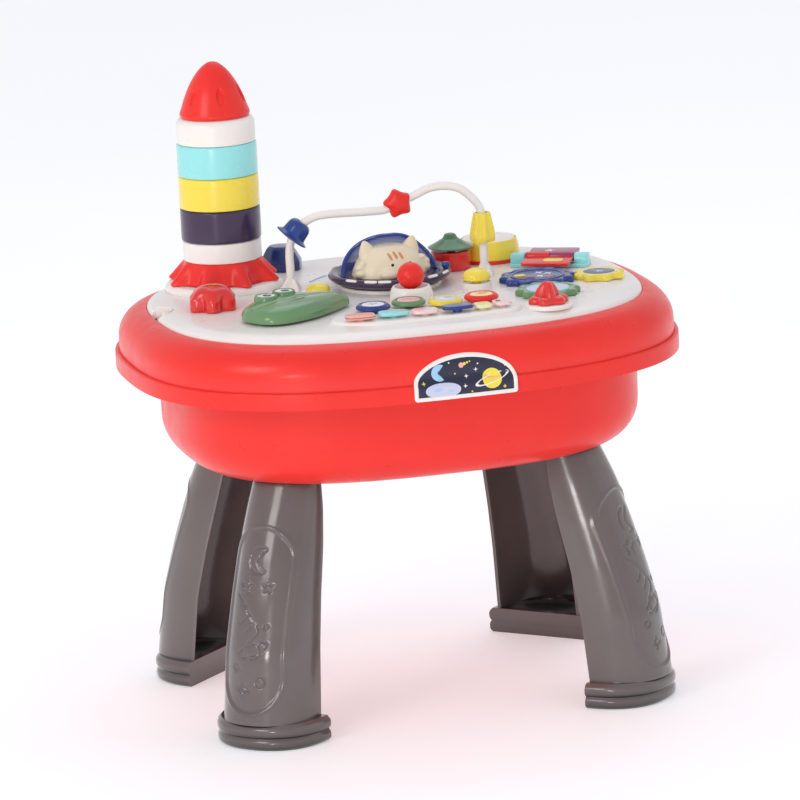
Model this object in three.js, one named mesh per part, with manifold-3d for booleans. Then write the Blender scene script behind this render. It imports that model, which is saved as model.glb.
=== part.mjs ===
import * as THREE from 'three';
import { mergeVertices } from 'three/addons/utils/BufferGeometryUtils.js';
import Module from 'manifold-3d';

// Activity table for toddlers: millimetres, +Z up, the origin on the floor under the middle of the
// table. +X runs along the table, and the front faces -Y.

// Driving dimensions of the table
const halfLength = 250;
const halfDepth = 212;
const ovalPower = 2.65;
const ovalSteps = 40;
const wall = 3;
const gap = 0.3;
const overrun = 2;
const floorZ = 227.5;
const lipZ = 309.8;
const lipHeight = 16;
const shoulderInset = 3.9;
const shoulderRise = 11.5;
const shoulderRadius = 25.7;
const ledgeDrop = 17;
const ledgeInset = 40;
const deckRise = 8;
const tubInset = 36.6;
const tubDraft = 1;
const tubRadius = 37;
const roundSteps = 18;

const rimTopZ = lipZ + lipHeight + shoulderRise + shoulderRadius;
const ledgeZ = rimTopZ - ledgeDrop;
const panelInset = shoulderInset + shoulderRadius + gap + gap;
const deckZ = rimTopZ + deckRise;

// Places of the toys, as shares of the half length and the half depth
const placeShares = {
  rocket: [-0.547, 0.396],
  lobedKnob: [-0.684, -0.057],
  frog: [-0.438, -0.355],
  smallDome: [-0.276, 0.024],
  ufo: [0.007, 0.08],
  joystick: [0.004, -0.274],
  domeLight: [0.26, -0.226],
  facetDial: [-0.28, 0.637],
  cymbal: [0.286, 0.278],
  leftPost: [-0.347, 0.156],
  rightPost: [0.3545, 0.038],
  book: [0.628, 0.13],
  bigGear: [0.504, -0.16],
  starKnob: [0.41, -0.691],
};
// The green ring and the raised key hold their rows, and the rest stand off by shares of a ring's or key's size
const ringRowShare = [-0.056, -0.483];
const ringStepShares = [[-2.19, -0.32], [0, 0], [1.97, -0.78], [4.19, -0.52]];
const keyRowShare = [0.075, -0.686];
const keyStepShares = [[-6.45, 0.32], [-4.21, 0.4], [-2.17, 0.05], [0, 0], [1.71, -0.03], [3.07, 0.22]];
const keyWidthShares = [1, 1, 0.86, 1.05, 0.58, 0.58];
const keyTurnShares = [-0.08, -0.06, -0.02, 0, 0.04, 0.12];

const place = (share) => [share[0] * halfLength, share[1] * halfDepth];

// Colours
const paint = (color, roughness = 0.35, opacity = 1) => new THREE.MeshStandardMaterial({
  color, roughness, metalness: 0, transparent: opacity < 1, opacity,
});
const red = paint(0xe6413c);
const white = paint(0xf6f1ea);
const taupe = paint(0x6e625f, 0.3);
const navy = paint(0x4a3a5e);
const yellow = paint(0xf6dc4c);
const cyan = paint(0x9fe6e6);
const blue = paint(0x31529f);
const green = paint(0x74a06b);
const pink = paint(0xfbb3a2);
const palePink = paint(0xf8d6cf);
const paleYellow = paint(0xf4ecb4);
const cream = paint(0xeee0bd, 0.5);
const glassBlue = paint(0x3355b4, 0.1, 0.55);
const black = paint(0x222222, 0.5);
const boardGreen = paint(0x2f6b3f, 0.6);
const steel = new THREE.MeshStandardMaterial({ color: 0xb8bcc0, roughness: 0.3, metalness: 1 });

const wasm = await Module();
wasm.setup();

// Turns a closed geometry into a solid, with its faces pointing out
function solid(geometry) {
  const bare = geometry.clone();
  bare.deleteAttribute('normal');
  bare.deleteAttribute('uv');
  const merged = mergeVertices(bare);
  const position = merged.getAttribute('position');
  const index = merged.getIndex().array;
  const corner = [new THREE.Vector3(), new THREE.Vector3(), new THREE.Vector3()];
  const triangles = [];
  let volume = 0;
  for (let i = 0; i < index.length; i += 3) {
    const [a, b, c] = [index[i], index[i + 1], index[i + 2]];
    if (a === b || b === c || a === c) {
      continue;
    }
    [a, b, c].forEach((vertex, k) => corner[k].fromBufferAttribute(position, vertex));
    volume += corner[0].dot(corner[1].clone().cross(corner[2]));
    triangles.push([a, b, c]);
  }
  const outward = triangles.map(([a, b, c]) => (volume < 0 ? [a, c, b] : [a, b, c]));
  return new wasm.Manifold(new wasm.Mesh({
    numProp: 3,
    vertProperties: new Float32Array(position.array),
    triVerts: new Uint32Array(outward.flat()),
  }));
}

function geometryOf(shape) {
  const mesh = shape.getMesh();
  const geometry = new THREE.BufferGeometry();
  geometry.setAttribute('position', new THREE.BufferAttribute(mesh.vertProperties, 3));
  geometry.setIndex(new THREE.BufferAttribute(mesh.triVerts, 1));
  geometry.computeVertexNormals();
  return geometry;
}

const join = (...shapes) => shapes.reduce((whole, shape) => whole.add(shape));
const cut = (base, ...tools) => tools.reduce((rest, tool) => rest.subtract(tool), base);

function piece(name, shape, material, [x, y, z] = [0, 0, 0], turn = 0) {
  const mesh = new THREE.Mesh(geometryOf(shape), material);
  mesh.name = name;
  mesh.position.set(x, y, z);
  mesh.rotation.z = turn;
  return mesh;
}

// A solid of revolution about Z from [radius, height] points
function turned(profile, segments = roundSteps) {
  const points = profile.map(([radius, height]) => new THREE.Vector2(radius, height));
  return solid(new THREE.LatheGeometry(points, segments).rotateX(Math.PI / 2));
}

function disc(radius, bottom, top, segments = roundSteps) {
  return turned([[0, bottom], [radius, bottom], [radius, top], [0, top]], segments);
}

function slab(outline, bottom, top, bevel = 0) {
  const shape = new THREE.Shape(outline.map(([x, y]) => new THREE.Vector2(x, y)));
  const geometry = new THREE.ExtrudeGeometry(shape, {
    depth: top - bottom - 2 * bevel,
    bevelEnabled: bevel > 0,
    bevelThickness: bevel,
    bevelSize: bevel,
    bevelOffset: -bevel,
    bevelSegments: 1,
    curveSegments: 1,
  });
  return solid(geometry.translate(0, 0, bottom + bevel));
}

function block(width, depth, bottom, top, [x, y] = [0, 0]) {
  const box = new THREE.BoxGeometry(width, depth, top - bottom);
  return solid(box.translate(x, y, (top + bottom) / 2));
}

function moved(shape, [x, y, z = 0]) {
  return shape.translate([x, y, z]);
}

function turnedBy(shape, degrees) {
  return shape.rotate([0, 0, degrees]);
}

// An outline with round lobes
function lobed(radius, lobes, depth, steps, phase = 0) {
  return Array.from({ length: lobes * steps }, (_, i) => {
    const angle = (2 * Math.PI * i) / (lobes * steps);
    const reach = radius + depth * Math.cos(lobes * (angle - phase));
    return [reach * Math.cos(angle), reach * Math.sin(angle)];
  });
}

// The table's oval outline, drawn in by an inset
function ovalRing(inset) {
  return Array.from({ length: ovalSteps }, (_, i) => {
    const angle = (2 * Math.PI * i) / ovalSteps;
    const reach = (value) => Math.sign(value) * Math.abs(value) ** (2 / ovalPower);
    return [(halfLength - inset) * reach(Math.cos(angle)), (halfDepth - inset) * reach(Math.sin(angle))];
  });
}

// Skins rings of points into a closed body: a loop of rings, or a stack with flat ends
function skinned(rings, looped = false) {
  const count = rings[0].length;
  const vertices = rings.flat();
  const triangles = [];
  const quads = looped ? rings.length : rings.length - 1;
  for (let level = 0; level < quads; level += 1) {
    for (let i = 0; i < count; i += 1) {
      const [a, b] = [level * count + i, level * count + ((i + 1) % count)];
      const next = ((level + 1) % rings.length) * count;
      const [c, d] = [next + i, next + ((i + 1) % count)];
      triangles.push([a, b, d], [a, d, c]);
    }
  }
  if (!looped) {
    [[0, -1], [rings.length - 1, 1]].forEach(([level, side]) => {
      const middle = vertices.length;
      const sum = rings[level].reduce((total, point) => total.map((value, k) => value + point[k]), [0, 0, 0]);
      vertices.push(sum.map((value) => value / count));
      for (let i = 0; i < count; i += 1) {
        const [a, b] = [level * count + i, level * count + ((i + 1) % count)];
        triangles.push(side > 0 ? [a, b, middle] : [b, a, middle]);
      }
    });
  }
  const geometry = new THREE.BufferGeometry();
  geometry.setAttribute('position', new THREE.Float32BufferAttribute(vertices.flat(), 3));
  geometry.setIndex(triangles.flat());
  return solid(geometry);
}

const ovalStack = (profile, looped = false) => skinned(
  profile.map(([inset, z]) => ovalRing(inset).map(([x, y]) => [x, y, z])), looped);

// Points of an arc, both ends included
const arc = (centre, radius, from, to, steps) => Array.from({ length: steps + 1 }, (_, i) => {
  const angle = THREE.MathUtils.degToRad(from + ((to - from) * i) / steps);
  return [centre[0] + radius * Math.cos(angle), centre[1] + radius * Math.sin(angle)];
});

const table = new THREE.Group();

// Rim: the red ring with its lip, rounded shoulder and the ledge that the panel rests on
const screwCount = 4;
const screwInset = 20;
const screwShareOfTurn = 0.5;
const bossRadius = 4.6;
const screwRadius = 1.6;
const screwHeadRadius = 3.4;
const screwHeadHeight = 2;
const screwLength = 14;
const flangeZ = lipZ + lipHeight + wall + wall;
const flangeInset = screwInset - bossRadius;

const screwPlaces = Array.from({ length: screwCount }, (_, i) => {
  const ring = ovalRing(screwInset);
  return ring[Math.round(((i + screwShareOfTurn) * ovalSteps) / screwCount) % ovalSteps];
});

function rimShell() {
  const shoulderZ = lipZ + lipHeight + shoulderRise;
  const centre = [shoulderInset + shoulderRadius, shoulderZ];
  const innerRadius = shoulderRadius - wall;
  const seatInset = panelInset - gap;
  const innerRise = Math.sqrt(innerRadius ** 2 - (wall - gap) ** 2);
  const innerStart = THREE.MathUtils.radToDeg(Math.PI - Math.acos((wall - gap) / innerRadius));
  const profile = [
    [0, lipZ], [0, lipZ + lipHeight], [shoulderInset, lipZ + lipHeight],
    ...arc(centre, shoulderRadius, 180, 90, 4),
    [seatInset, rimTopZ - gap], [seatInset, ledgeZ], [ledgeInset, ledgeZ], [ledgeInset, ledgeZ - wall],
    [seatInset - wall, ledgeZ - wall], [seatInset - wall, shoulderZ + innerRise],
    ...arc(centre, innerRadius, innerStart, 180, 2).slice(1),
    [shoulderInset + wall, lipZ + lipHeight - wall], [wall, lipZ + lipHeight - wall], [wall, lipZ],
  ];
  const bosses = screwPlaces.map((spot) => moved(
    disc(bossRadius, flangeZ + gap, rimTopZ - wall - gap, 8), spot));
  const holes = screwPlaces.map((spot) => moved(
    disc(screwRadius + gap, flangeZ - overrun, flangeZ + screwLength, 8), spot));
  return cut(join(ovalStack(profile, true), ...bosses), ...holes);
}

// Storage tub: an oval basin with sockets for the legs in its floor
const leg = {
  footX: 155.2,
  footY: 115.1,
  footHalfWidth: 52.8,
  footDepth: 57,
  footHeight: 23,
  footPower: 2.3,
  lean: 42,
  wall: 3.2,
  ridge: 5,
  plugHalfWidth: 24,
  plugDepth: 20,
  plugStart: 3,
  plugHeight: 28,
  steps: 8,
  plugSteps: 5,
};
const legHeightShares = [0, 0.3, 0.52, 0.72, 0.88, 1.03];
const legWidthShares = [0.825, 0.8, 0.753, 0.711, 0.651, 0.576];
const legDepthShares = [0.97, 0.95, 0.905, 0.865, 0.77, 0.57];
const legLeanShares = [-0.02, 0.15, 0.4, 0.68, 0.88, 1];

// Outline of a D: a flat side through the origin and a round side out along +X
function dOutline(halfWidth, depth, start = 0, steps = leg.steps) {
  return Array.from({ length: steps + 1 }, (_, i) => {
    const angle = -Math.PI / 2 + (Math.PI * i) / steps;
    const reach = (value) => Math.sign(value) * Math.abs(value) ** (2 / leg.footPower);
    const forward = Math.max(0, reach(Math.cos(angle)));
    return [start + (depth - start) * forward, halfWidth * reach(Math.sin(angle))];
  });
}

const legPlaces = [[-1, -1], [1, -1], [-1, 1], [1, 1]].map(([sideX, sideY]) => ({
  foot: [sideX * leg.footX, sideY * leg.footY],
  turn: THREE.MathUtils.radToDeg(Math.atan2(sideY, sideX)),
}));

function atLeg(shape, spot) {
  return moved(turnedBy(shape, spot.turn), spot.foot);
}

function tubOuter(grow) {
  const bottomCentre = [tubInset + tubDraft + tubRadius, floorZ + tubRadius];
  return [
    ...arc(bottomCentre, tubRadius + grow, 270, 180, 3),
    [tubInset - grow, ledgeZ - wall - gap],
  ];
}

function storageTub() {
  const outer = tubOuter(0);
  const inner = tubOuter(-wall).reverse();
  const flange = [
    [tubInset, flangeZ - wall], [flangeInset, flangeZ - wall], [flangeInset, flangeZ], [tubInset, flangeZ],
  ];
  const basin = ovalStack([...outer.slice(0, -1), ...flange, ...outer.slice(-1), ...inner]);
  const sleeveTop = floorZ + leg.plugHeight + gap + wall;
  const socket = (grow, bottom, top) => legPlaces.map((spot) => atLeg(moved(slab(
    dOutline(leg.plugHalfWidth + grow, leg.plugDepth + grow, leg.plugStart - grow, leg.plugSteps),
    bottom, top),
  [-leg.lean, 0]), spot));
  const sleeves = socket(gap + wall, floorZ + wall / 2, sleeveTop);
  const pockets = socket(gap, floorZ - overrun, floorZ + leg.plugHeight + gap);
  const holes = screwPlaces.map((spot) => moved(
    disc(screwRadius + gap, flangeZ - wall - overrun, flangeZ + overrun, 8), spot));
  return cut(join(basin, ...sleeves), ...pockets, ...holes);
}

function tubScrew() {
  const head = flangeZ - wall - gap;
  return turned([
    [0, head - screwHeadHeight], [screwHeadRadius, head - screwHeadHeight], [screwHeadRadius, head],
    [screwRadius, head], [screwRadius, flangeZ + screwLength - gap], [0, flangeZ + screwLength - gap],
  ], 8);
}

// One leg: a C-shaped shell that flares to a D-shaped foot with two ridges, with a plug on top and a
// long oval field sunk in its outer side
const field = { depth: 1.1, halfWidth: 29, bottomShare: 0.05, topShare: 0.83, steps: 5 };
const footProfileShares = [[0.5, 0], [0.1, 0.1], [0.06, 0.34], [0.3, 0.46], [0, 0.58], [0, 0.84], [0.5, 1]];

function legShape() {
  const height = floorZ - leg.footHeight;
  const skin = (inward) => legHeightShares.map((share, i) => {
    const halfWidth = legWidthShares[i] * leg.footHalfWidth - inward;
    const depth = legDepthShares[i] * leg.footDepth - inward;
    const lean = legLeanShares[i] * leg.lean;
    return dOutline(halfWidth, depth).map(([x, y]) => [x - lean, y, leg.footHeight + share * height]);
  });
  const fieldBottom = leg.footHeight + field.bottomShare * height;
  const fieldTop = leg.footHeight + field.topShare * height;
  const stadium = [
    ...arc([0, fieldBottom + field.halfWidth], field.halfWidth, 180, 360, field.steps),
    ...arc([0, fieldTop - field.halfWidth], field.halfWidth, 0, 180, field.steps),
  ];
  const window = slab(stadium, 0, leg.footDepth * 2).rotate([90, 0, 90]).translate([-leg.lean / 2, 0, 0]);
  const outer = cut(skinned(skin(0)), cut(window, skinned(skin(field.depth))));
  const inner = skinned(skin(leg.wall));
  const openSide = skinned(skin(leg.wall).map((ring, i) => {
    const lean = legLeanShares[i] * leg.lean;
    return ring.map(([x, y, z]) => [Math.min(x, -lean + leg.wall) - overrun - leg.wall, y, z]);
  }));
  const crown = block(halfDepth, halfDepth, floorZ - leg.wall, floorZ + leg.lean);
  const shell = cut(outer, cut(join(inner, openSide), crown));
  const foot = skinned(footProfileShares.map(([share, up]) => {
    const inset = share * leg.ridge;
    return dOutline(leg.footHalfWidth - inset, leg.footDepth - inset)
      .map(([x, y]) => [x, y, up * leg.footHeight]);
  }));
  const footHollow = slab(
    dOutline(leg.footHalfWidth - 2 * leg.wall, leg.footDepth - 2 * leg.wall, leg.wall * 2, leg.plugSteps),
    -overrun, leg.footHeight + overrun);
  const plug = moved(slab(dOutline(leg.plugHalfWidth, leg.plugDepth, leg.plugStart, leg.plugSteps),
    floorZ - leg.wall, floorZ + leg.plugHeight, leg.wall / 2), [-leg.lean, 0]);
  return { shell, foot: cut(foot, footHollow), plug };
}

function legSolid(parts, spot) {
  const tubGap = ovalStack(tubOuter(gap));
  const shell = cut(atLeg(parts.shell, spot), tubGap);
  return join(shell, atLeg(parts.foot, spot), atLeg(parts.plug, spot));
}

table.add(piece('rim_shell', rimShell(), red));
table.add(piece('storage_tub', storageTub(), red));
screwPlaces.forEach((spot, i) => {
  table.add(piece(`tub_screw_${i + 1}`, tubScrew(), steel, [...spot, 0]));
});
const legParts = legShape();
['leg_front_left', 'leg_front_right', 'leg_rear_left', 'leg_rear_right'].forEach((name, i) => {
  table.add(piece(name, legSolid(legParts, legPlaces[i]), taupe));
});

// Front plate: a D-shaped plate on the rim's front
const plate = { x: 5, halfWidth: 47, bottomRise: 1.5, height: 38.5, sideRise: 13, thickness: 1.6, steps: 8 };

function frontPlate() {
  const bottom = lipZ + plate.bottomRise;
  const archHeight = plate.height - plate.sideRise;
  const arch = arc([0, 0], 1, 0, 180, plate.steps)
    .map(([across, up]) => [across * plate.halfWidth, bottom + plate.sideRise + up * archHeight]);
  const outline = [[-plate.halfWidth, bottom], [plate.halfWidth, bottom], ...arch];
  const shape = new THREE.Shape(outline.map(([x, z]) => new THREE.Vector2(x, z)));
  const reach = halfDepth + 2 * plate.thickness;
  const curtain = solid(new THREE.ExtrudeGeometry(shape, { depth: reach, bevelEnabled: false })
    .rotateX(Math.PI / 2).translate(plate.x, 0, 0));
  const shoulderZ = lipZ + lipHeight + shoulderRise;
  const skin = (grow) => ovalStack([
    [-grow, lipZ], [-grow, lipZ + lipHeight + grow / 2], [shoulderInset - grow, lipZ + lipHeight + grow],
    ...arc([shoulderInset + shoulderRadius, shoulderZ], shoulderRadius + grow, 180, 90, 4),
  ]);
  return curtain.intersect(skin(gap + plate.thickness)).subtract(skin(gap));
}

// Play panel: the white deck with its raised console, wells, pins and posts
const deckWall = 3;
const notch = { radius: 13, depth: 15, y: 11 };
const consoleRise = 3;
const consoleZ = deckZ + consoleRise;
const consoleShares = [
  [-0.37, -0.62], [-0.24, -0.73], [-0.02, -0.745], [0.17, -0.745], [0.29, -0.72], [0.318, -0.66],
  [0.3, -0.58], [0.28, -0.48], [0.246, -0.41], [0.14, -0.41], [-0.2, -0.41], [-0.33, -0.5],
];
const travel = 2;
const stem = { radius: 4, steps: 6 };
const stemBore = (stem.radius + gap) / Math.cos(Math.PI / stem.steps);
const pinRadius = 4;
const pinSteps = 10;
const spin = 0.35;
const boardDrop = 12;
const boardZ = deckZ - deckWall - boardDrop;
const boardThickness = 1.6;
const postRadius = 3.5;

const rocket = {
  plinthRadius: 54, plinthHeight: 6.5,
  tailRadius: 53.3, tailTopRadius: 34.5, tailHeight: 20, fins: 8, finDepth: 2.2,
  ringRadius: 36.5, collarRadius: 35.75, noseRadius: 32, noseSeatRadius: 30.5, noseHeight: 49.5, wall: 2.4,
  lowHeight: 18.6, ringHeight: 29.7, topHeight: 23.3, spigotRadius: 29, spigotHeight: 6, bevel: 1.2,
  shoulder: 4, dimples: 6, dimpleRadius: 5.6, dimpleDepth: 1.3, dimpleTurn: 31, steps: 16,
};
const ufo = {
  baseRadius: 46, baseHeight: 3, dishRadius: 56, dishHeight: 11,
  hoodRadius: 44.5, hoodHeight: 36, hoodWall: 1.8, hoodLean: 32,
  knobRadius: 4, knobTurn: -25, knobReach: 52,
};
const stick = {
  baseRadius: 19.5, baseHeight: 12.5, bore: 11, mouth: 15, mouthDepth: 6, steps: 16,
  ballRadius: 12.25, ballZ: 21.5, shaftRadius: 3,
};
const dome = { cupRadius: 13.2, cupHeight: 8, radius: 12.6, height: 14, smallRadius: 11.2, smallHeight: 8 };
const ringButton = { radius: 15.5, height: 4.6, plateRadius: 10.5, lip: 1 };
const key = { halfWidth: 13.6, halfDepth: 8.5, height: 3, bevel: 0.9 };
const gear = {
  halfModule: 2.75, lobeDepth: 2.2, bigLobes: 12, middleLobes: 10, smallLobes: 8,
  height: 6, slack: 0.9, bevel: 1,
};
const gearTurns = { middle: -98, small: -13 };
const drum = {
  bottomRadius: 28.6, topRadius: 26, height: 20.5, baseHeight: 3, skinRadius: 24.5, skinHeight: 3,
};
const drums = { slack: 2.2, turn: 28.25 };
const cymbal = {
  drumRadius: 18, drumHeight: 17, radius: 20.8, edge: 1, rise: 7.5, bossRadius: 7, height: 13.6, lift: 21,
};
const rail = { radius: 4, steps: 8, rings: 34, collarRadius: 11, collarHeight: 9, fins: 4, finDepth: 2.6 };
const book = {
  turn: -28, length: 72, depth: 26, baseHeight: 3, blockWidth: 13, blockDepth: 15, blockHeight: 11.5,
  coverThickness: 3.2, pinRadius: 2.4, pinSteps: 12, leaf: 25, coverLift: 4, pageLift: 2,
};
const knob = {
  lobes: 6, lobeDepth: 2.6, radius: 20.5, height: 22.5, starRadius: 18.4, starHeight: 6.5, starTop: 19,
};
const dial = { sides: 8, bottomRadius: 20, topRadius: 13, height: 22 };
const frog = { length: 109, width: 63, height: 15.5, turn: 25, eyeRadius: 11, eyeRise: 6, travel: 2 };

const board = { left: 19, right: 35.5, front: 5.2, back: 29.4 };
const boardPostShares = [[-0.92, -0.82], [0.92, -0.82], [-0.92, 0.88], [0.92, 0.88]];

const ufoSpot = place(placeShares.ufo);
const stickSpot = place(placeShares.joystick);
const bigSpot = place(placeShares.bigGear);
const gearRadius = (lobes) => gear.halfModule * lobes;
function besideBig(lobes, degrees) {
  const reach = gearRadius(gear.bigLobes) + gearRadius(lobes) + gear.slack;
  const angle = THREE.MathUtils.degToRad(degrees);
  return [bigSpot[0] + reach * Math.cos(angle), bigSpot[1] + reach * Math.sin(angle)];
}
const middleSpot = besideBig(gear.middleLobes, gearTurns.middle);
const smallSpot = besideBig(gear.smallLobes, gearTurns.small);
const row = (start, steps, size) => {
  const [x, y] = place(start);
  return steps.map(([across, along]) => [x + across * size, y + along * size]);
};
const ringSpots = row(ringRowShare, ringStepShares, ringButton.radius);
const keySpots = row(keyRowShare, keyStepShares, key.halfWidth);
const cymbalSpot = place(placeShares.cymbal);
const drumReach = cymbal.drumRadius + drum.bottomRadius + drums.slack;
const drumAngle = THREE.MathUtils.degToRad(drums.turn);
const drumSpot = [cymbalSpot[0] + drumReach * Math.cos(drumAngle),
  cymbalSpot[1] + drumReach * Math.sin(drumAngle)];

// The circuit board lies under the keys and the rings
const boardBox = {
  left: Math.min(...keySpots.map(([x]) => x)) - board.left,
  right: Math.max(...keySpots.map(([x]) => x)) + board.right,
  front: Math.min(...keySpots.map(([, y]) => y)) - board.front,
  back: Math.max(...ringSpots.map(([, y]) => y)) + board.back,
};
const boardSize = [boardBox.right - boardBox.left, boardBox.back - boardBox.front];
const boardSpot = [(boardBox.left + boardBox.right) / 2, (boardBox.front + boardBox.back) / 2];

function pin(height) {
  return disc(pinRadius, deckZ - deckWall / 2, deckZ + height, pinSteps);
}

function stemHole(spot) {
  const top = deckZ + dome.cupHeight + overrun;
  return moved(disc(stemBore, deckZ - deckWall - overrun, top, stem.steps), spot);
}

// Foot of a rail post: a cone with fins
const collarShares = [[1, 1, 0], [0.74, 0.6, 0.5], [0.62, 0.1, 1]];

function collar() {
  const level = ([across, deep], z) => (
    lobed(across * rail.collarRadius, rail.fins, deep * rail.finDepth, 4).map(([x, y]) => [x, y, z]));
  return skinned([
    level(collarShares[0], deckZ - deckWall / 2),
    ...collarShares.map((share) => level(share, deckZ + share[2] * rail.collarHeight)),
  ]);
}

const sunkZ = deckZ - deckWall / 2;

function playPanel() {
  const edge = ovalStack([
    [panelInset, ledgeZ + gap], [panelInset, rimTopZ - 1.5 * gap], [panelInset + wall, rimTopZ + wall],
    [panelInset + 3 * wall, deckZ - wall], [panelInset + 9 * wall, deckZ],
  ]);
  const hollow = ovalStack([
    [panelInset + wall, ledgeZ - overrun], [panelInset + wall, rimTopZ - wall],
    [panelInset + 6 * wall, deckZ - deckWall],
  ]);
  const raised = slab(new THREE.CatmullRomCurve3(
    consoleShares.map((share) => new THREE.Vector3(...place(share), 0)), true)
    .getPoints(22).slice(1).map((point) => [point.x, point.y]), sunkZ, consoleZ, 0);
  const plinth = moved(turned([
    [0, sunkZ], [rocket.plinthRadius, sunkZ], [rocket.plinthRadius, deckZ + wall],
    [rocket.plinthRadius - wall, deckZ + rocket.plinthHeight], [0, deckZ + rocket.plinthHeight],
  ]), place(placeShares.rocket));
  const ufoBase = moved(join(disc(ufo.baseRadius, sunkZ, deckZ + ufo.baseHeight),
    pin(ufo.baseHeight + 2 * wall)), ufoSpot);
  const stickBase = moved(turned([
    [0, sunkZ], [stick.baseRadius, sunkZ], [stick.baseRadius, deckZ + 2 * wall],
    [stick.baseRadius - wall / 4, deckZ + 3 * wall], [stick.mouth + wall / 2, deckZ + stick.baseHeight],
    [0, deckZ + stick.baseHeight],
  ]), stickSpot);
  const stickBore = moved(turned([
    [0, deckZ - deckWall - overrun], [stick.bore, deckZ - deckWall - overrun],
    [stick.bore, deckZ + stick.baseHeight - stick.mouthDepth], [stick.mouth, deckZ + stick.baseHeight],
    [stick.mouth, deckZ + stick.baseHeight + overrun], [0, deckZ + stick.baseHeight + overrun],
  ], stick.steps), stickSpot);
  const cup = moved(disc(dome.cupRadius, sunkZ, deckZ + dome.cupHeight), place(placeShares.domeLight));
  const pins = [bigSpot, middleSpot, smallSpot].map((spot) => moved(pin(gear.height), spot));
  const knobPins = [placeShares.lobedKnob, placeShares.facetDial].map(place)
    .map((spot) => moved(pin(3 * wall), spot));
  const starPlinth = moved(join(disc(knob.starRadius + wall, deckZ - 2 * deckWall, consoleZ), pin(3 * wall)),
    place(placeShares.starKnob));
  const railSpots = [placeShares.leftPost, placeShares.rightPost].map(place);
  const collars = railSpots.map((spot) => moved(collar(), spot));
  const railHole = disc(rail.radius + gap, deckZ - deckWall - overrun,
    deckZ + rail.collarHeight + overrun, rail.steps);
  const railHoles = railSpots.map((spot) => moved(railHole, spot));
  const posts = boardPostShares.map(([across, along]) => moved(
    disc(postRadius, boardZ + boardThickness, sunkZ, 8),
    [boardSpot[0] + (across * boardSize[0]) / 2, boardSpot[1] + (along * boardSize[1]) / 2]));
  const stems = [
    ...ringSpots, ...keySpots, cymbalSpot, drumSpot,
    ...[placeShares.domeLight, placeShares.smallDome, placeShares.frog].map(place),
  ].map((spot) => stemHole(spot));
  const notchCut = moved(disc(notch.radius, ledgeZ - overrun, deckZ + overrun, 16),
    [-halfLength + panelInset + notch.depth - notch.radius, notch.y]);
  const shell = cut(edge, hollow);
  const fittings = [raised, plinth, ufoBase, stickBase, cup, starPlinth];
  return cut(join(shell, ...fittings, ...pins, ...knobPins, ...collars, ...posts),
    ...railHoles, ...stems, notchCut, stickBore);
}

table.add(piece('front_plate', frontPlate(), blue));
table.add(piece('play_panel', playPanel(), white));

// Rocket: a fluted tail, five stacking cups and a nose, each nesting on the one below
const noseShares = [
  [0.96, 0], [1, 0.05], [0.94, 0.17], [0.83, 0.37], [0.675, 0.59], [0.45, 0.81], [0.28, 0.92], [0, 1],
];
const dimpleShare = [0.79, 0.43];
const cups = [
  { name: 'rocket_cup_white_low', radius: rocket.collarRadius, height: rocket.lowHeight, material: white },
  { name: 'rocket_cup_navy', radius: rocket.ringRadius, height: rocket.ringHeight, material: navy },
  { name: 'rocket_cup_yellow', radius: rocket.ringRadius, height: rocket.ringHeight, material: yellow },
  { name: 'rocket_cup_cyan', radius: rocket.ringRadius, height: rocket.ringHeight, material: cyan },
  { name: 'rocket_cup_white_top', radius: rocket.collarRadius, height: rocket.topHeight, material: white },
];
const spigotFor = (radius) => radius - rocket.wall - gap;

function rocketTail() {
  const steps = rocket.fins * 4;
  const level = (radius, depth, z) => lobed(radius, rocket.fins, depth, 4).map(([x, y]) => [x, y, z]);
  const skirt = skinned([
    level(rocket.tailRadius - rocket.finDepth, rocket.finDepth, 0),
    level(rocket.tailRadius - 2 * rocket.finDepth, rocket.finDepth, rocket.tailHeight * 0.18),
    level(rocket.tailRadius * 0.8, rocket.finDepth / 2, rocket.tailHeight * 0.6),
    level(rocket.tailTopRadius, 0, rocket.tailHeight),
  ]);
  const spigot = disc(spigotFor(rocket.collarRadius), 0,
    rocket.tailHeight + rocket.spigotHeight, rocket.steps);
  const hollow = turned([[0, -overrun], [rocket.tailTopRadius, -overrun],
    [rocket.spigotRadius, rocket.tailHeight], [0, rocket.tailHeight]], steps / 4);
  return cut(join(skirt, spigot), hollow);
}

function rocketCup(radius, height, nextRadius, shoulder) {
  const spigot = spigotFor(nextRadius);
  const top = height + rocket.spigotHeight;
  const rim = height - gap;
  const inside = radius - rocket.wall;
  const ceiling = rim - rocket.wall;
  return turned([
    [0, top - rocket.wall], [spigot - rocket.wall, top - rocket.wall], [spigot - rocket.wall, ceiling],
    [inside - shoulder / 2, ceiling], [inside, ceiling - shoulder], [inside, 0],
    [radius - rocket.bevel, 0], [radius, 2 * rocket.bevel], [radius, rim - 2 * shoulder],
    [radius - shoulder / 3, rim - shoulder * 0.8], [radius - shoulder, rim],
    [spigot, rim], [spigot, top], [0, top],
  ], rocket.steps);
}

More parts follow.
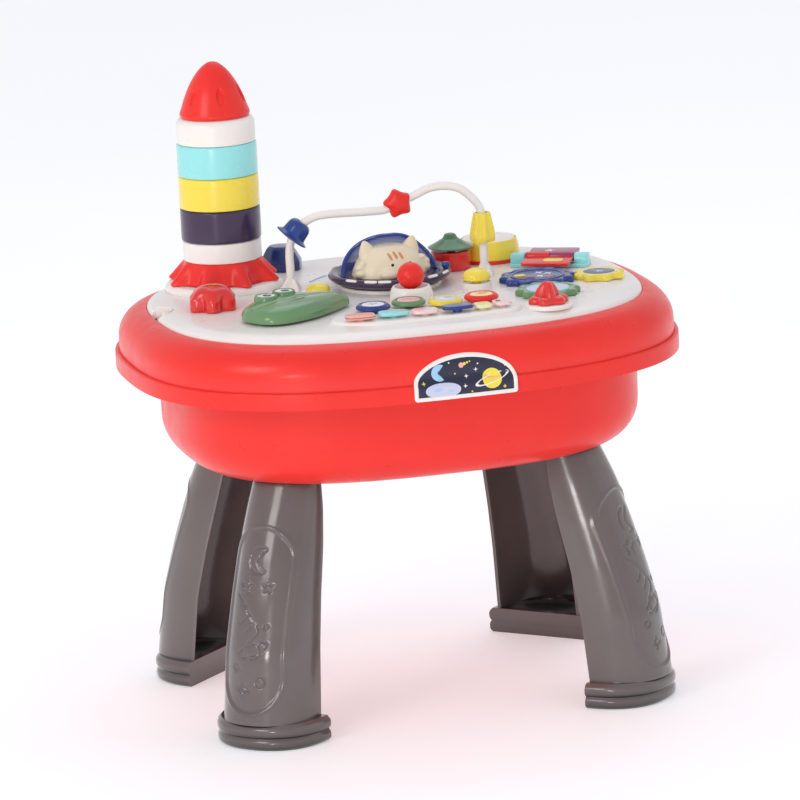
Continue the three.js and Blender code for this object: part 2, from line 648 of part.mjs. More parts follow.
function rocketNose() {
  const outer = noseShares.map(([across, up]) => [across * rocket.noseRadius, up * rocket.noseHeight]);
  const innerRadius = rocket.noseRadius - rocket.wall;
  const innerHeight = rocket.noseHeight - rocket.wall;
  const inner = [1, 3, 5].map((i) => [noseShares[i][0] * innerRadius, noseShares[i][1] * innerHeight]);
  const hollow = turned([[0, -overrun], [innerRadius, -overrun], ...inner, [0, innerHeight]], rocket.steps);
  const dimples = Array.from({ length: rocket.dimples }, (_, i) => {
    const [across, up] = dimpleShare;
    const oval = new THREE.SphereGeometry(rocket.dimpleRadius, 8, 4);
    oval.scale(rocket.dimpleDepth / rocket.dimpleRadius, 0.65, 1.1);
    return turnedBy(moved(solid(oval), [across * rocket.noseRadius, 0, up * rocket.noseHeight]),
      rocket.dimpleTurn + (i * 360) / rocket.dimples);
  });
  return cut(turned([[0, 0], ...outer], rocket.steps), hollow, ...dimples);
}

function addRocket() {
  const spot = place(placeShares.rocket);
  let z = deckZ + rocket.plinthHeight + gap;
  table.add(piece('rocket_tail', rocketTail(), red, [...spot, z]));
  z += rocket.tailHeight + gap;
  cups.forEach(({ name, radius, height, material }, i) => {
    const isTop = i + 1 === cups.length;
    const next = isTop ? rocket.noseSeatRadius : cups[i + 1].radius;
    const shape = rocketCup(radius, height, next, isTop ? rocket.shoulder : rocket.bevel);
    table.add(piece(name, shape, material, [...spot, z]));
    z += height;
  });
  table.add(piece('rocket_nose', rocketNose(), red, [...spot, z]));
}

// Bead rail: a bent tube between two posts, with three beads
const railHeight = 92;
const bendRadius = 34;
const plateauShare = 0.735;
const slopeShares = [[0.5, 0.742], [0.735, 0.925]];
const railShares = [
  [0.36, 0.736], [0.43, plateauShare], slopeShares[0], [0.578, 0.803], [0.657, 0.864], slopeShares[1],
  [0.812, 0.937], [0.888, 0.9], [0.945, 0.81], [0.985, 0.71], [1, 0.6], [1, 0.3],
];
const railStart = place(placeShares.leftPost);
const railEnd = place(placeShares.rightPost);
const railSpan = Math.hypot(railEnd[0] - railStart[0], railEnd[1] - railStart[1]);
const railTurn = Math.atan2(railEnd[1] - railStart[1], railEnd[0] - railStart[0]);
const bend = { s: bendRadius, z: railHeight * plateauShare - bendRadius };
const beads = {
  wideBore: 6.6, waist: 5.3, redBore: 4.9, yellowBore: 5.4,
  blueRadius: 11, brimRadius: 16, brimHeight: 3.4, blueTurn: 40,
  starRadius: 14.8, starInnerShare: 0.7, starHalf: 8.5, starShare: 0.57, starTurn: 105,
  yellowBottom: 12, yellowHeight: 26.5, yellowZ: 33, flutes: 8, fluteDepth: 0.7,
};
const hatShares = [[1, 0.18], [0.98, 0.36], [0.8, 0.66]];
const yellowShares = [[0.89, 0], [0.94, 0.1], [0.89, 0.34], [0.68, 0.83], [0.57, 1]];

function railPath() {
  const corner = arc([bend.s, bend.z], bendRadius, 180, 90, 5);
  const points = [
    [0, -deckWall - overrun / 2], [0, bend.z / 3], [0, (bend.z * 2) / 3], ...corner,
    ...railShares.map(([along, up]) => [along * railSpan, up * railHeight]),
    [railSpan, -deckWall - overrun / 2],
  ];
  return new THREE.CatmullRomCurve3(points.map(([s, z]) => new THREE.Vector3(s, 0, z)), false, 'centripetal');
}

function beadRail() {
  const section = new THREE.Shape(Array.from({ length: rail.steps }, (_, i) => {
    const angle = (2 * Math.PI * i) / rail.steps;
    return new THREE.Vector2(rail.radius * Math.cos(angle), rail.radius * Math.sin(angle));
  }));
  return solid(new THREE.ExtrudeGeometry(section, {
    steps: rail.rings, bevelEnabled: false, extrudePath: railPath(),
  }));
}

// Turns a bead made about Z so that its bore follows the rail, and puts it in the rail's plane
function onRail(shape, s, z, lean) {
  return shape.rotate([0, lean, 0]).translate([s, 0, z]);
}

function blueBead() {
  const { blueRadius, brimRadius, brimHeight, wideBore } = beads;
  const foot = -0.9 * blueRadius;
  const hat = turned([
    [wideBore, foot], [brimRadius - brimHeight, foot], [brimRadius, foot + brimHeight / 3],
    [brimRadius, foot + (brimHeight * 2) / 3], [blueRadius, foot + brimHeight * 1.3],
    ...hatShares.map(([across, up]) => [across * blueRadius, up * blueRadius]),
    [wideBore, blueRadius * 0.8], [beads.waist, 0], [wideBore, foot],
  ], 12);
  const turn = THREE.MathUtils.degToRad(beads.blueTurn);
  return onRail(hat, bend.s - bendRadius * Math.cos(turn), bend.z + bendRadius * Math.sin(turn), beads.blueTurn);
}

function redBead() {
  const star = Array.from({ length: 10 }, (_, i) => {
    const reach = beads.starRadius * (i % 2 ? beads.starInnerShare : 1);
    const angle = (Math.PI * i) / 5 + THREE.MathUtils.degToRad(beads.starTurn);
    return [reach * Math.cos(angle), reach * Math.sin(angle)];
  });
  const puffed = slab(star, -beads.starHalf, beads.starHalf, beads.starHalf / 3).rotate([90, 0, 0]);
  const [from, to] = slopeShares;
  const slope = Math.atan2((to[1] - from[1]) * railHeight, (to[0] - from[0]) * railSpan);
  const rise = ((beads.starShare - from[0]) / (to[0] - from[0])) * (to[1] - from[1]) + from[1];
  const bore = disc(beads.redBore, -2 * beads.starRadius, 2 * beads.starRadius, 12);
  const tilt = 90 - THREE.MathUtils.radToDeg(slope);
  const spot = [beads.starShare * railSpan, 0, rise * railHeight];
  return cut(puffed.translate(spot), bore.rotate([0, tilt, 0]).translate(spot));
}

function yellowBead() {
  const body = skinned(yellowShares.map(([across, up]) => lobed(
    across * beads.yellowBottom, beads.flutes, beads.fluteDepth, 3)
    .map(([x, y]) => [x, y, up * beads.yellowHeight])));
  const bore = disc(beads.yellowBore, -overrun, beads.yellowHeight + overrun, 12);
  return cut(body, bore).translate([railSpan, 0, beads.yellowZ]);
}

function addRail() {
  const spot = [...railStart, deckZ];
  table.add(piece('bead_rail', beadRail(), white, spot, railTurn));
  table.add(piece('bead_blue', blueBead(), blue, spot, railTurn));
  table.add(piece('bead_red', redBead(), red, spot, railTurn));
  table.add(piece('bead_yellow', yellowBead(), yellow, spot, railTurn));
}

// Spinning saucer with its hood and the cat inside
function saucerDish() {
  const bore = pinRadius + spin;
  const floor = ufo.dishHeight * 0.62;
  const dish = turned([
    [0, 0], [ufo.baseRadius - wall, 0], [ufo.dishRadius - wall, ufo.dishHeight * 0.3],
    [ufo.dishRadius, ufo.dishHeight * 0.55], [ufo.dishRadius, ufo.dishHeight * 0.8],
    [ufo.dishRadius - wall, ufo.dishHeight], [ufo.hoodRadius + wall, ufo.dishHeight * 0.85],
    [ufo.hoodRadius + gap, floor], [0, floor],
  ], 20);
  const knobAngle = THREE.MathUtils.degToRad(ufo.knobTurn);
  const ball = solid(new THREE.SphereGeometry(ufo.knobRadius, 8, 6));
  const knobSpot = [ufo.knobReach * Math.cos(knobAngle), ufo.knobReach * Math.sin(knobAngle),
    ufo.dishHeight + ufo.knobRadius / 2];
  return cut(join(dish, moved(ball, knobSpot)), disc(bore, -overrun, floor - wall / 5, pinSteps));
}

function saucerHood() {
  const shell = (inward) => {
    const round = new THREE.SphereGeometry(1, 20, 10);
    return solid(round.rotateX(Math.PI / 2)
      .scale(ufo.hoodRadius - inward, ufo.hoodRadius - inward, ufo.hoodHeight - inward));
  };
  const big = 2 * ufo.hoodRadius;
  const below = block(big, big, -big, 0);
  const front = block(big, big, 0, big).rotate([-ufo.hoodLean, 0, 0])
    .translate([0, -ufo.hoodRadius * 1.55, -ufo.hoodRadius * 0.62]);
  return cut(shell(0), shell(ufo.hoodWall), below, front);
}

const cat = {
  halfWidth: 35, halfDepth: 30, height: 27, cheek: 12,
  earRadius: 9, earHeight: 15, earLean: 18, earShare: 0.6, earDepthShare: 0.6, earSeatShare: 0.86,
  cheekShare: 0.72, cheekDepthShare: 0.3, cheekLiftShare: 0.7,
};

function saucerCat() {
  const lump = (x, y, z, rx, ry, rz, across = 14, up = 8) => solid(new THREE.SphereGeometry(1, across, up)
    .rotateX(Math.PI / 2).scale(rx, ry, rz).translate(x, y, z));
  const head = lump(0, 0, 0, cat.halfWidth, cat.halfDepth, cat.height);
  const cone = solid(new THREE.ConeGeometry(cat.earRadius, cat.earHeight, 8)
    .rotateX(Math.PI / 2).scale(1, cat.earDepthShare, 1));
  const ears = [-1, 1].map((side) => cone.rotate([0, side * cat.earLean, 0])
    .translate([side * cat.halfWidth * cat.earShare, 0, cat.height * cat.earSeatShare]));
  const cheeks = [-1, 1].map((side) => lump(
    side * cat.halfWidth * cat.cheekShare, -cat.halfDepth * cat.cheekDepthShare,
    cat.cheek * cat.cheekLiftShare,
    cat.cheek, cat.cheek, cat.cheek * 0.8, 8, 6));
  const big = 4 * cat.halfWidth;
  return cut(join(head, ...ears, ...cheeks), block(big, big, -big, 0));
}

function addSaucer() {
  const z = deckZ + ufo.baseHeight + gap;
  const floor = z + ufo.dishHeight * 0.62 + gap;
  table.add(piece('saucer_dish', saucerDish(), navy, [...ufoSpot, z]));
  table.add(piece('saucer_hood', saucerHood(), glassBlue, [...ufoSpot, floor]));
  table.add(piece('saucer_cat', saucerCat(), cream, [...ufoSpot, floor]));
}

// Joystick: a ball on a shaft, carried by a ring that rocks in the base
const gimbal = { radius: 9.4, bore: 5.6, half: 2.2, pin: 1.6, z: 2.2 };

function rod(radius, from, to, axis, steps = 6) {
  const shape = disc(radius, from, to, steps);
  return axis === 'x' ? shape.rotate([0, 90, 0]) : shape.rotate([-90, 0, 0]);
}

function addJoystick() {
  const spot = [...stickSpot, deckZ + gimbal.z];
  const ring = cut(disc(gimbal.radius, -gimbal.half, gimbal.half, stick.steps),
    disc(gimbal.bore, -overrun * 2, overrun * 2, 12));
  const near = gimbal.bore + gap;
  const far = stick.bore - 2 * gap;
  const trunnions = [[-far, -near], [near, far]].map(([from, to]) => rod(gimbal.pin, from, to, 'x'));
  table.add(piece('joystick_ring', join(ring, ...trunnions), black, spot));
  const ball = solid(new THREE.SphereGeometry(stick.ballRadius, 12, 8))
    .translate([0, 0, stick.ballZ - gimbal.z]);
  const shaft = disc(stick.shaftRadius, -gimbal.half, stick.ballZ - gimbal.z, 10);
  const cross = rod(gimbal.pin, -gimbal.bore + 2 * gap, gimbal.bore - 2 * gap, 'y');
  table.add(piece('joystick_ball', join(ball, shaft, cross), red, spot));
}

// Press pieces: each has a stem through the deck
function withStem(shape, down) {
  return join(shape, disc(stem.radius, -down, gap, stem.steps));
}

const domeCrownShares = [[0.883, 0.594], [0.51, 0.9]];
const domeProfile = (radius, height) => [
  [0, 0], [radius, 0], [radius, height * 0.25],
  ...domeCrownShares.map(([across, up]) => [across * radius, up * height]), [0, height],
];

function ringShape() {
  const { radius, height, plateRadius, lip } = ringButton;
  return turned([
    [0, 0], [radius - lip, 0], [radius, lip], [radius, height - 2 * lip], [radius - 2 * lip, height],
    [plateRadius + lip, height], [plateRadius, height - lip / 2], [0, height - lip / 2],
  ], 12);
}

function keyShape(widthShare) {
  const { halfWidth, halfDepth, height, bevel } = key;
  const outline = Array.from({ length: 8 }, (_, i) => {
    const angle = (2 * Math.PI * (i + 0.5)) / 8;
    const reach = (value) => Math.sign(value) * Math.abs(value) ** 0.45;
    return [widthShare * halfWidth * reach(Math.cos(angle)), halfDepth * reach(Math.sin(angle))];
  });
  return slab(outline, 0, height, bevel);
}

const ringPaints = [blue, green, yellow, red];
const ringNames = ['ring_button_blue', 'ring_button_green', 'ring_button_yellow', 'ring_button_red'];
const keyPaints = [pink, cyan, palePink, blue, paleYellow, red];
const keyNames = ['key_salmon', 'key_cyan', 'key_pink', 'key_blue', 'key_yellow', 'key_red'];
const raisedKey = 3;

function addPressPieces() {
  const reachDown = boardThickness + travel;
  ringSpots.forEach((spot, i) => {
    const z = consoleZ + travel + gap;
    const down = z - boardZ - reachDown;
    table.add(piece(ringNames[i], withStem(ringShape(), down), ringPaints[i], [...spot, z]));
  });
  keySpots.forEach((spot, i) => {
    const z = consoleZ + travel + gap + (i === raisedKey ? key.bevel : 0);
    const down = z - boardZ - reachDown;
    const shape = withStem(keyShape(keyWidthShares[i]), down);
    table.add(piece(keyNames[i], shape, keyPaints[i], [...spot, z], keyTurnShares[i]));
  });
  const cupZ = deckZ + dome.cupHeight + travel + gap;
  table.add(piece('dome_light', withStem(turned(domeProfile(dome.radius, dome.height - travel * 2), 14),
    cupZ - boardZ - reachDown), yellow, [...place(placeShares.domeLight), cupZ]));
  const smallZ = deckZ + travel + gap;
  table.add(piece('small_dome', withStem(turned(domeProfile(dome.smallRadius, dome.smallHeight), 14),
    smallZ - boardZ - reachDown), yellow, [...place(placeShares.smallDome), smallZ]));
}

// Frog: a smooth body that tapers to one end, with two raised eyes
const frogShares = [
  [-0.5, 0], [-0.46, -0.34], [-0.34, -0.48], [-0.1, -0.5], [0.16, -0.4], [0.36, -0.26], [0.48, -0.16],
  [0.5, 0.02], [0.42, 0.2], [0.2, 0.38], [0, 0.48], [-0.2, 0.5], [-0.4, 0.36], [-0.48, 0.2],
];
const frogLevelShares = [[1, 0], [1, 0.36], [0.95, 0.66], [0.82, 0.88], [0.5, 1]];
const frogEyeShares = [[-0.22, 0.21], [0, 0.28]];

function addFrog() {
  const outline = new THREE.CatmullRomCurve3(frogShares.map(([along, across]) => (
    new THREE.Vector3(along * frog.length, across * frog.width, 0))), true)
    .getPoints(22).slice(1);
  const level = ([size, up]) => outline.map(({ x, y }) => [x * size, y * size, up * frog.height]);
  const body = skinned(frogLevelShares.map(level));
  const eyes = frogEyeShares.map(([along, across]) => disc(frog.eyeRadius, frog.height * 0.3,
    frog.height + frog.eyeRise / 2, 10).translate([along * frog.length, across * frog.width, 0]));
  const z = deckZ + frog.travel + gap;
  const shape = withStem(join(body, ...eyes), z - boardZ - boardThickness - travel);
  const turn = THREE.MathUtils.degToRad(frog.turn);
  table.add(piece('frog', shape, green, [...place(placeShares.frog), z], turn));
}

// Knobs that turn on pins
const knobLevelShares = [[1, 0, 1], [1, 0.42, 1], [0.93, 0.66, 0.7], [0.72, 0.87, 0.3], [0.36, 1, 0]];
const starLevelShares = [[1, 0, 1], [1, 0.6, 1], [0.8, 1, 0.6]];
const peakLevelShares = [[0.6, 0.2, 1.4], [0.42, 0.6, 1], [0.16, 1, 0.3]];
const peakLobes = 3;
function addKnobs() {
  const bore = disc(pinRadius + spin, -overrun, 3 * wall + gap, pinSteps);
  const level = (radius, z, lobes, depth) => lobed(radius, lobes, depth, 4).map(([x, y]) => [x, y, z]);
  const { lobes, lobeDepth, radius, height } = knob;
  const lobedShape = skinned(knobLevelShares.map(([across, up, deep]) => (
    level(across * radius, up * height, lobes, deep * lobeDepth))));
  table.add(piece('lobed_knob', cut(lobedShape, bore), red, [...place(placeShares.lobedKnob), deckZ + gap]));
  const starDisc = skinned(starLevelShares.map(([across, up, deep]) => (
    level(across * knob.starRadius, up * knob.starHeight, lobes, deep * lobeDepth))));
  const peak = skinned(peakLevelShares.map(([across, up, deep]) => (
    level(across * knob.starRadius, up * knob.starTop, peakLobes, deep * lobeDepth))));
  const starBore = disc(pinRadius + spin, -overrun, 2 * wall + gap, pinSteps);
  table.add(piece('star_knob', cut(join(starDisc, peak), starBore), red,
    [...place(placeShares.starKnob), consoleZ + gap]));
  const facets = turned([[0, 0], [dial.bottomRadius, 0], [dial.bottomRadius, dial.height * 0.36],
    [dial.topRadius, dial.height * 0.92], [dial.topRadius * 0.8, dial.height], [0, dial.height]], dial.sides);
  table.add(piece('facet_dial', cut(facets, bore), blue, [...place(placeShares.facetDial), deckZ + gap]));
}

// Gears: three wheels with round lobes, in mesh
function gearShape(lobes, phase) {
  const outline = lobed(gearRadius(lobes), lobes, gear.lobeDepth, 4, phase);
  const wheel = slab(outline, 0, gear.height - gap, gear.bevel);
  return cut(wheel, disc(pinRadius + spin, -overrun, gear.height + overrun, pinSteps));
}

function addGears() {
  const [middleAngle, smallAngle] = [gearTurns.middle, gearTurns.small].map(THREE.MathUtils.degToRad);
  const meshPhase = (lobes, angle) => angle + Math.PI
    - (Math.PI - gear.bigLobes * (angle - middleAngle)) / lobes;
  const z = deckZ + gap;
  table.add(piece('gear_blue', gearShape(gear.bigLobes, middleAngle), blue, [...bigSpot, z]));
  const middleGear = gearShape(gear.middleLobes, meshPhase(gear.middleLobes, middleAngle));
  const smallGear = gearShape(gear.smallLobes, meshPhase(gear.smallLobes, smallAngle));
  table.add(piece('gear_green', middleGear, green, [...middleSpot, z]));
  table.add(piece('gear_yellow', smallGear, yellow, [...smallSpot, z]));
}

// Drum and cymbal
function addDrums() {
  const body = turned([
    [0, 0], [drum.bottomRadius, 0], [drum.bottomRadius, drum.baseHeight],
    [drum.bottomRadius * 0.98, drum.height / 2], [drum.topRadius, drum.height], [0, drum.height],
  ]);
  const well = disc(drum.skinRadius + gap, drum.height - drum.skinHeight - travel, drum.height + overrun);
  const bore = disc(stemBore, -overrun, drum.height, stem.steps);
  table.add(piece('drum_body', cut(body, well, bore), yellow, [...drumSpot, deckZ + gap]));
  const skin = turned([[0, 0], [drum.skinRadius, 0], [drum.skinRadius, drum.skinHeight - gap],
    [drum.skinRadius * 0.6, drum.skinHeight + gap], [0, drum.skinHeight + 2 * gap]]);
  const skinZ = deckZ + gap + drum.height - drum.skinHeight + gap;
  const skinDown = skinZ - boardZ - boardThickness - travel;
  table.add(piece('drum_skin', withStem(skin, skinDown), white, [...drumSpot, skinZ]));
  table.add(piece('cymbal_drum', cut(disc(cymbal.drumRadius, 0, cymbal.drumHeight),
    disc(stemBore, -overrun, cymbal.height * 2, stem.steps)), red, [...cymbalSpot, deckZ + gap]));
  const plateZ = deckZ + cymbal.lift - travel / 2;
  const plateShape = turned([
    [0, 0], [cymbal.radius, 0], [cymbal.radius, cymbal.edge], [cymbal.bossRadius * 1.3, cymbal.rise],
    [cymbal.bossRadius, cymbal.rise + cymbal.edge], [cymbal.bossRadius * 0.7, cymbal.height * 0.93],
    [0, cymbal.height],
  ]);
  const plateDown = plateZ - boardZ - boardThickness - travel;
  table.add(piece('cymbal', withStem(plateShape, plateDown), green, [...cymbalSpot, plateZ]));
}

// Book: a base with two end blocks and a pin that two leaves turn on
function addBook() {
  const spot = place(placeShares.book);
  const turn = THREE.MathUtils.degToRad(book.turn);
  const pinZ = book.blockHeight * 0.68;
  const blocks = [-1, 1].map((side) => block(book.blockWidth, book.blockDepth, 0, book.blockHeight,
    [(side * (book.length - book.blockWidth)) / 2, 0]));
  const plateShape = block(book.length, book.depth, 0, book.baseHeight);
  const pinHalf = (book.length - book.blockWidth) / 2;
  const across = rod(book.pinRadius, -pinHalf, pinHalf, 'x', book.pinSteps).translate([0, 0, pinZ]);
  table.add(piece('book_base', join(plateShape, ...blocks, across), cyan, [...spot, deckZ + gap], turn));
  const clear = book.length - 2 * book.blockWidth - 4 * gap;
  const knuckle = book.pinRadius + spin + book.coverThickness / 2;
  const leaf = (from, to, lift, side) => {
    const tube = rod(knuckle, from, to, 'x', book.pinSteps);
    const sheet = block(clear, book.leaf, -book.coverThickness / 2, book.coverThickness / 2,
      [0, side * (book.leaf / 2 + knuckle + gap)]);
    const bridge = block(to - from, knuckle * 2, -book.coverThickness / 2, book.coverThickness / 2,
      [(from + to) / 2, side * knuckle]);
    const bore = rod(book.pinRadius + spin, -clear, clear, 'x', book.pinSteps);
    return cut(join(tube, join(sheet, bridge)), bore).rotate([lift, 0, 0]);
  };
  const spotZ = [...spot, deckZ + gap + pinZ];
  table.add(piece('book_cover', leaf(-clear / 2, -gap / 2, book.coverLift, -1), red, spotZ, turn));
  table.add(piece('book_page', leaf(gap / 2, clear / 2, book.pageLift, 1), pink, spotZ, turn));
}

// Electronics under the deck
const box = {
  width: 90, depth: 66, height: 26, y: 42, wall: 2.4, doorWall: 2.4,
  cellRadius: 7.1, cellLength: 50, cellGap: 2,
};
const speaker = { radius: 20, height: 12, y: 118, magnetRadius: 9 };

function addElectronics() {
  const top = deckZ - deckWall - gap;
  const bottom = top - box.height;
  const tray = cut(block(box.width, box.depth, bottom, top, [0, box.y]),
    block(box.width - 2 * box.wall, box.depth - 2 * box.wall, bottom - overrun, top - box.wall, [0, box.y]));
  table.add(piece('battery_box', tray, white));
  const inside = box.wall + gap;
  const door = block(box.width - 2 * inside, box.depth - 2 * inside, bottom,
    bottom + box.doorWall, [0, box.y]);
  table.add(piece('battery_door', door, white));
  const cellZ = bottom + box.doorWall + gap + box.cellRadius;
  [-1, 1].forEach((side, i) => {
    const cell = rod(box.cellRadius, -box.cellLength / 2, box.cellLength / 2, 'x', 12)
      .translate([0, box.y + side * (box.cellRadius + box.cellGap), cellZ]);
    table.add(piece(`battery_${i + 1}`, cell, steel));
  });
  const plate = block(...boardSize, boardZ - gap, boardZ + boardThickness - gap, boardSpot);
  table.add(piece('circuit_board', plate, boardGreen));
  const driver = turned([
    [0, -speaker.height], [speaker.magnetRadius, -speaker.height],
    [speaker.magnetRadius, -speaker.height * 0.6], [speaker.radius, -speaker.height * 0.25],
    [speaker.radius, 0], [0, 0],
  ]);
  table.add(piece('speaker', driver, black, [0, speaker.y, top]));
}

addRocket();
addRail();
addSaucer();
addJoystick();
addPressPieces();
addFrog();
addKnobs();
addGears();
addDrums();
addBook();
addElectronics();

export default table;
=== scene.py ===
"""Looks of an activity table for toddlers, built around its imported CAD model. Lengths are in millimetres
until a mesh is made, and +Z is up, +X along the table and -Y its front."""
import math

import bmesh
import bpy
import numpy as np
from mathutils import Matrix, Vector
from mathutils.bvhtree import BVHTree


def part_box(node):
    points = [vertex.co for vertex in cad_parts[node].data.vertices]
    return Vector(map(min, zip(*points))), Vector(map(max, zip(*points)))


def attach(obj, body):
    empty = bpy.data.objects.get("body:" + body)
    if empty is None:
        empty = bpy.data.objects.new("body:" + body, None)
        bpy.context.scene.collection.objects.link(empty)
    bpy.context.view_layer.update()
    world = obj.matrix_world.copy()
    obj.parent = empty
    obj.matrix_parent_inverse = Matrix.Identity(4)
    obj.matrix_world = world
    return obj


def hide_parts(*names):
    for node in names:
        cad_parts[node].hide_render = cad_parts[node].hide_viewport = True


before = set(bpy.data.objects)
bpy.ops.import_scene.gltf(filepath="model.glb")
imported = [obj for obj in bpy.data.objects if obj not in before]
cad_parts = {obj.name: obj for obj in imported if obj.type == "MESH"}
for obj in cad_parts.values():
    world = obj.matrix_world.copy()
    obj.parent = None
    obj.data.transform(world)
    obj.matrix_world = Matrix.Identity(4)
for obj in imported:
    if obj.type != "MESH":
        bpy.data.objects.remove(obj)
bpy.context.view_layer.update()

MM = 0.001
TURN = 2 * math.pi


# Places and sizes that come from the frame
def low(node):
    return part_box(node)[0] / MM


def high(node):
    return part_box(node)[1] / MM


def half_length(node):
    return (high(node).x - low(node).x) / 2


def height_of(node):
    return high(node).z - low(node).z


def middle(node, z=0):
    """The middle of a node in plan, at a given height."""
    centre = (low(node) + high(node)) / 2
    return Vector((centre.x, centre.y, z))


def seat(node):
    """The middle of a node's underside."""
    return middle(node, low(node).z)


HALF_LENGTH, HALF_DEPTH, RIM_TOP = high("rim_shell")
OVAL_POWER = 2.65
OVAL_STEPS = 208
WALL = 3.0
GAP = 0.3
LIP_Z = low("rim_shell").z
LIP_TOP = LIP_Z + 16.0
SHOULDER_INSET = 3.9
SHOULDER_RADIUS = 25.7
SHOULDER_Z = RIM_TOP - SHOULDER_RADIUS
LEDGE_Z = RIM_TOP - 17.0
DECK_Z = RIM_TOP + 8.0
CONSOLE_Z = DECK_Z + 3.0
PANEL_INSET = SHOULDER_INSET + SHOULDER_RADIUS + 2 * GAP
FLOOR_Z = low("storage_tub").z


# Numbers, turns and outlines
def clamp(value):
    return min(1.0, max(0.0, value))


def smooth(share):
    return share * share * (3 - 2 * share)


def power(value, exponent):
    return math.copysign(abs(value) ** exponent, value)


def about(axis, degrees):
    return Matrix.Rotation(math.radians(degrees), 4, axis)


SIDEWAYS = about("Z", 90) @ about("X", 90)


def quarter(steps):
    """Angles from 0 to 90 degrees."""
    return [math.pi / 2 * k / steps for k in range(steps + 1)]


def polar(reach, angle):
    return reach * math.cos(angle), reach * math.sin(angle)


def circle(radius, steps=64):
    return [polar(radius, TURN * i / steps) for i in range(steps)]


def squircle(half_width, half_depth, exponent=0.5, steps=48):
    """An ellipse at exponent 1, and nearer to a rectangle below that."""
    return [(half_width * power(x, exponent), half_depth * power(y, exponent)) for x, y in circle(1, steps)]


def oval(inset):
    """The table's outline, drawn in by an inset."""
    return squircle(HALF_LENGTH - inset, HALF_DEPTH - inset, 2 / OVAL_POWER, OVAL_STEPS)


def lobed(radius, lobes, depth, steps=16, phase=0.0, sharp=1.0):
    """An outline with lobes: sharp above 1 narrows them."""
    outline = []
    for i in range(lobes * steps):
        angle = TURN * i / (lobes * steps)
        wave = (0.5 + 0.5 * math.cos(lobes * (angle - phase))) ** sharp * 2 - 1
        outline.append(polar(radius + depth * wave, angle))
    return outline


def star(points, outer, inner, phase=math.pi / 2):
    return [polar(inner if i % 2 else outer, phase + math.pi * i / points) for i in range(2 * points)]


def crescent(radius, cut=0.72, steps=24):
    """A moon: the round side, then back along a flatter arc."""
    outer = [polar(radius, math.radians(60 + 240 * i / steps)) for i in range(steps + 1)]
    tip_x, tip_y = outer[0]
    inner = [(tip_x - cut * radius * math.sin(math.pi * i / steps), tip_y * (2 * i / steps - 1))
             for i in range(1, steps)]
    return outer + inner


def arc(centre, radius, start, end, steps):
    """Points from one angle to another, in degrees."""
    points = [polar(radius, math.radians(start + (end - start) * i / steps)) for i in range(steps + 1)]
    return [(centre[0] + x, centre[1] + y) for x, y in points]


def bow(radius, height, angles):
    return [(radius * math.cos(a), height * math.sin(a)) for a in angles]


def eased(points, ease, steps=4, looped=False):
    """Rounds the corners of a line of 2-D points. A point's third number is an ease of its own."""
    line = []
    count = len(points)
    for i, point in enumerate(points):
        here = Vector(point[:2])
        reach = point[2] if len(point) > 2 else ease
        if not looped and i in (0, count - 1) or reach <= 0:
            line.append(tuple(here))
            continue
        before = Vector(points[i - 1][:2]) - here
        after = Vector(points[(i + 1) % count][:2]) - here
        reach = min(reach, before.length * 0.49, after.length * 0.49)
        start, end = here + before.normalized() * reach, here + after.normalized() * reach
        for k in range(steps + 1):
            t = k / steps
            line.append(tuple((1 - t) ** 2 * start + 2 * t * (1 - t) * here + t * t * end))
    return line


def curve(points, steps, closed=False):
    """Points of a centripetal Catmull-Rom curve, with some steps to each stretch."""
    knots = [Vector(p) for p in points]
    if closed:
        knots = [knots[-1], *knots, *knots[:2]]
    else:
        knots = [2 * knots[0] - knots[1], *knots, 2 * knots[-1] - knots[-2]]
    line = []
    for p0, p1, p2, p3 in zip(knots, knots[1:], knots[2:], knots[3:]):
        d0, d1, d2 = ((b - a).length ** 0.5 for a, b in ((p0, p1), (p1, p2), (p2, p3)))
        m1 = ((p1 - p0) / d0 - (p2 - p0) / (d0 + d1) + (p2 - p1) / d1) * d1
        m2 = ((p2 - p1) / d1 - (p3 - p1) / (d1 + d2) + (p3 - p2) / d2) * d1
        for k in range(steps):
            t = k / steps
            line.append((2 * t ** 3 - 3 * t ** 2 + 1) * p1 + (t ** 3 - 2 * t ** 2 + t) * m1
                        + (3 * t ** 2 - 2 * t ** 3) * p2 + (t ** 3 - t ** 2) * m2)
    return line if closed else line + [knots[-2]]


def inset_by(outline, distance):
    """A closed outline drawn in along its normals."""
    area = sum(a[0] * b[1] - b[0] * a[1] for a, b in zip(outline, outline[1:] + outline[:1]))
    side = math.copysign(1, area)
    drawn = []
    for i, (x, y) in enumerate(outline):
        along = (Vector(outline[(i + 1) % len(outline)]) - Vector(outline[i - 1])).normalized()
        drawn.append((x - side * along.y * distance, y + side * along.x * distance))
    return drawn


# Closed bodies as vertices and faces
def level(outline, z):
    return [(x, y, z) for x, y in outline]


def loft(rings, looped=False):
    """A skin over rings of equal counts, capped at both ends or looped back to the first ring."""
    count = len(rings[0])
    vertices = [tuple(point) for ring in rings for point in ring]
    faces = []
    for step in range(len(rings) if looped else len(rings) - 1):
        lower, upper = step * count, (step + 1) % len(rings) * count
        for i in range(count):
            after = (i + 1) % count
            faces.append((lower + i, lower + after, upper + after, upper + i))
    if not looped:
        faces.append(tuple(reversed(range(count))))
        faces.append(tuple(range((len(rings) - 1) * count, len(rings) * count)))
    return vertices, faces


def lathe(profile, steps=64, looped=False):
    """A solid of revolution about Z from a profile of radius and height."""
    return loft([level(circle(max(r, 1e-4), steps), z) for r, z in profile], looped)


def turned(points, ease, bends, around, z=0.0):
    """A lathed body with eased corners, on a height. It is a ring where its profile starts off the axis."""
    ring = points[0][0] > 0
    return lathe(eased([(p[0], z + p[1], *p[2:]) for p in points], ease, bends, ring), around, ring)


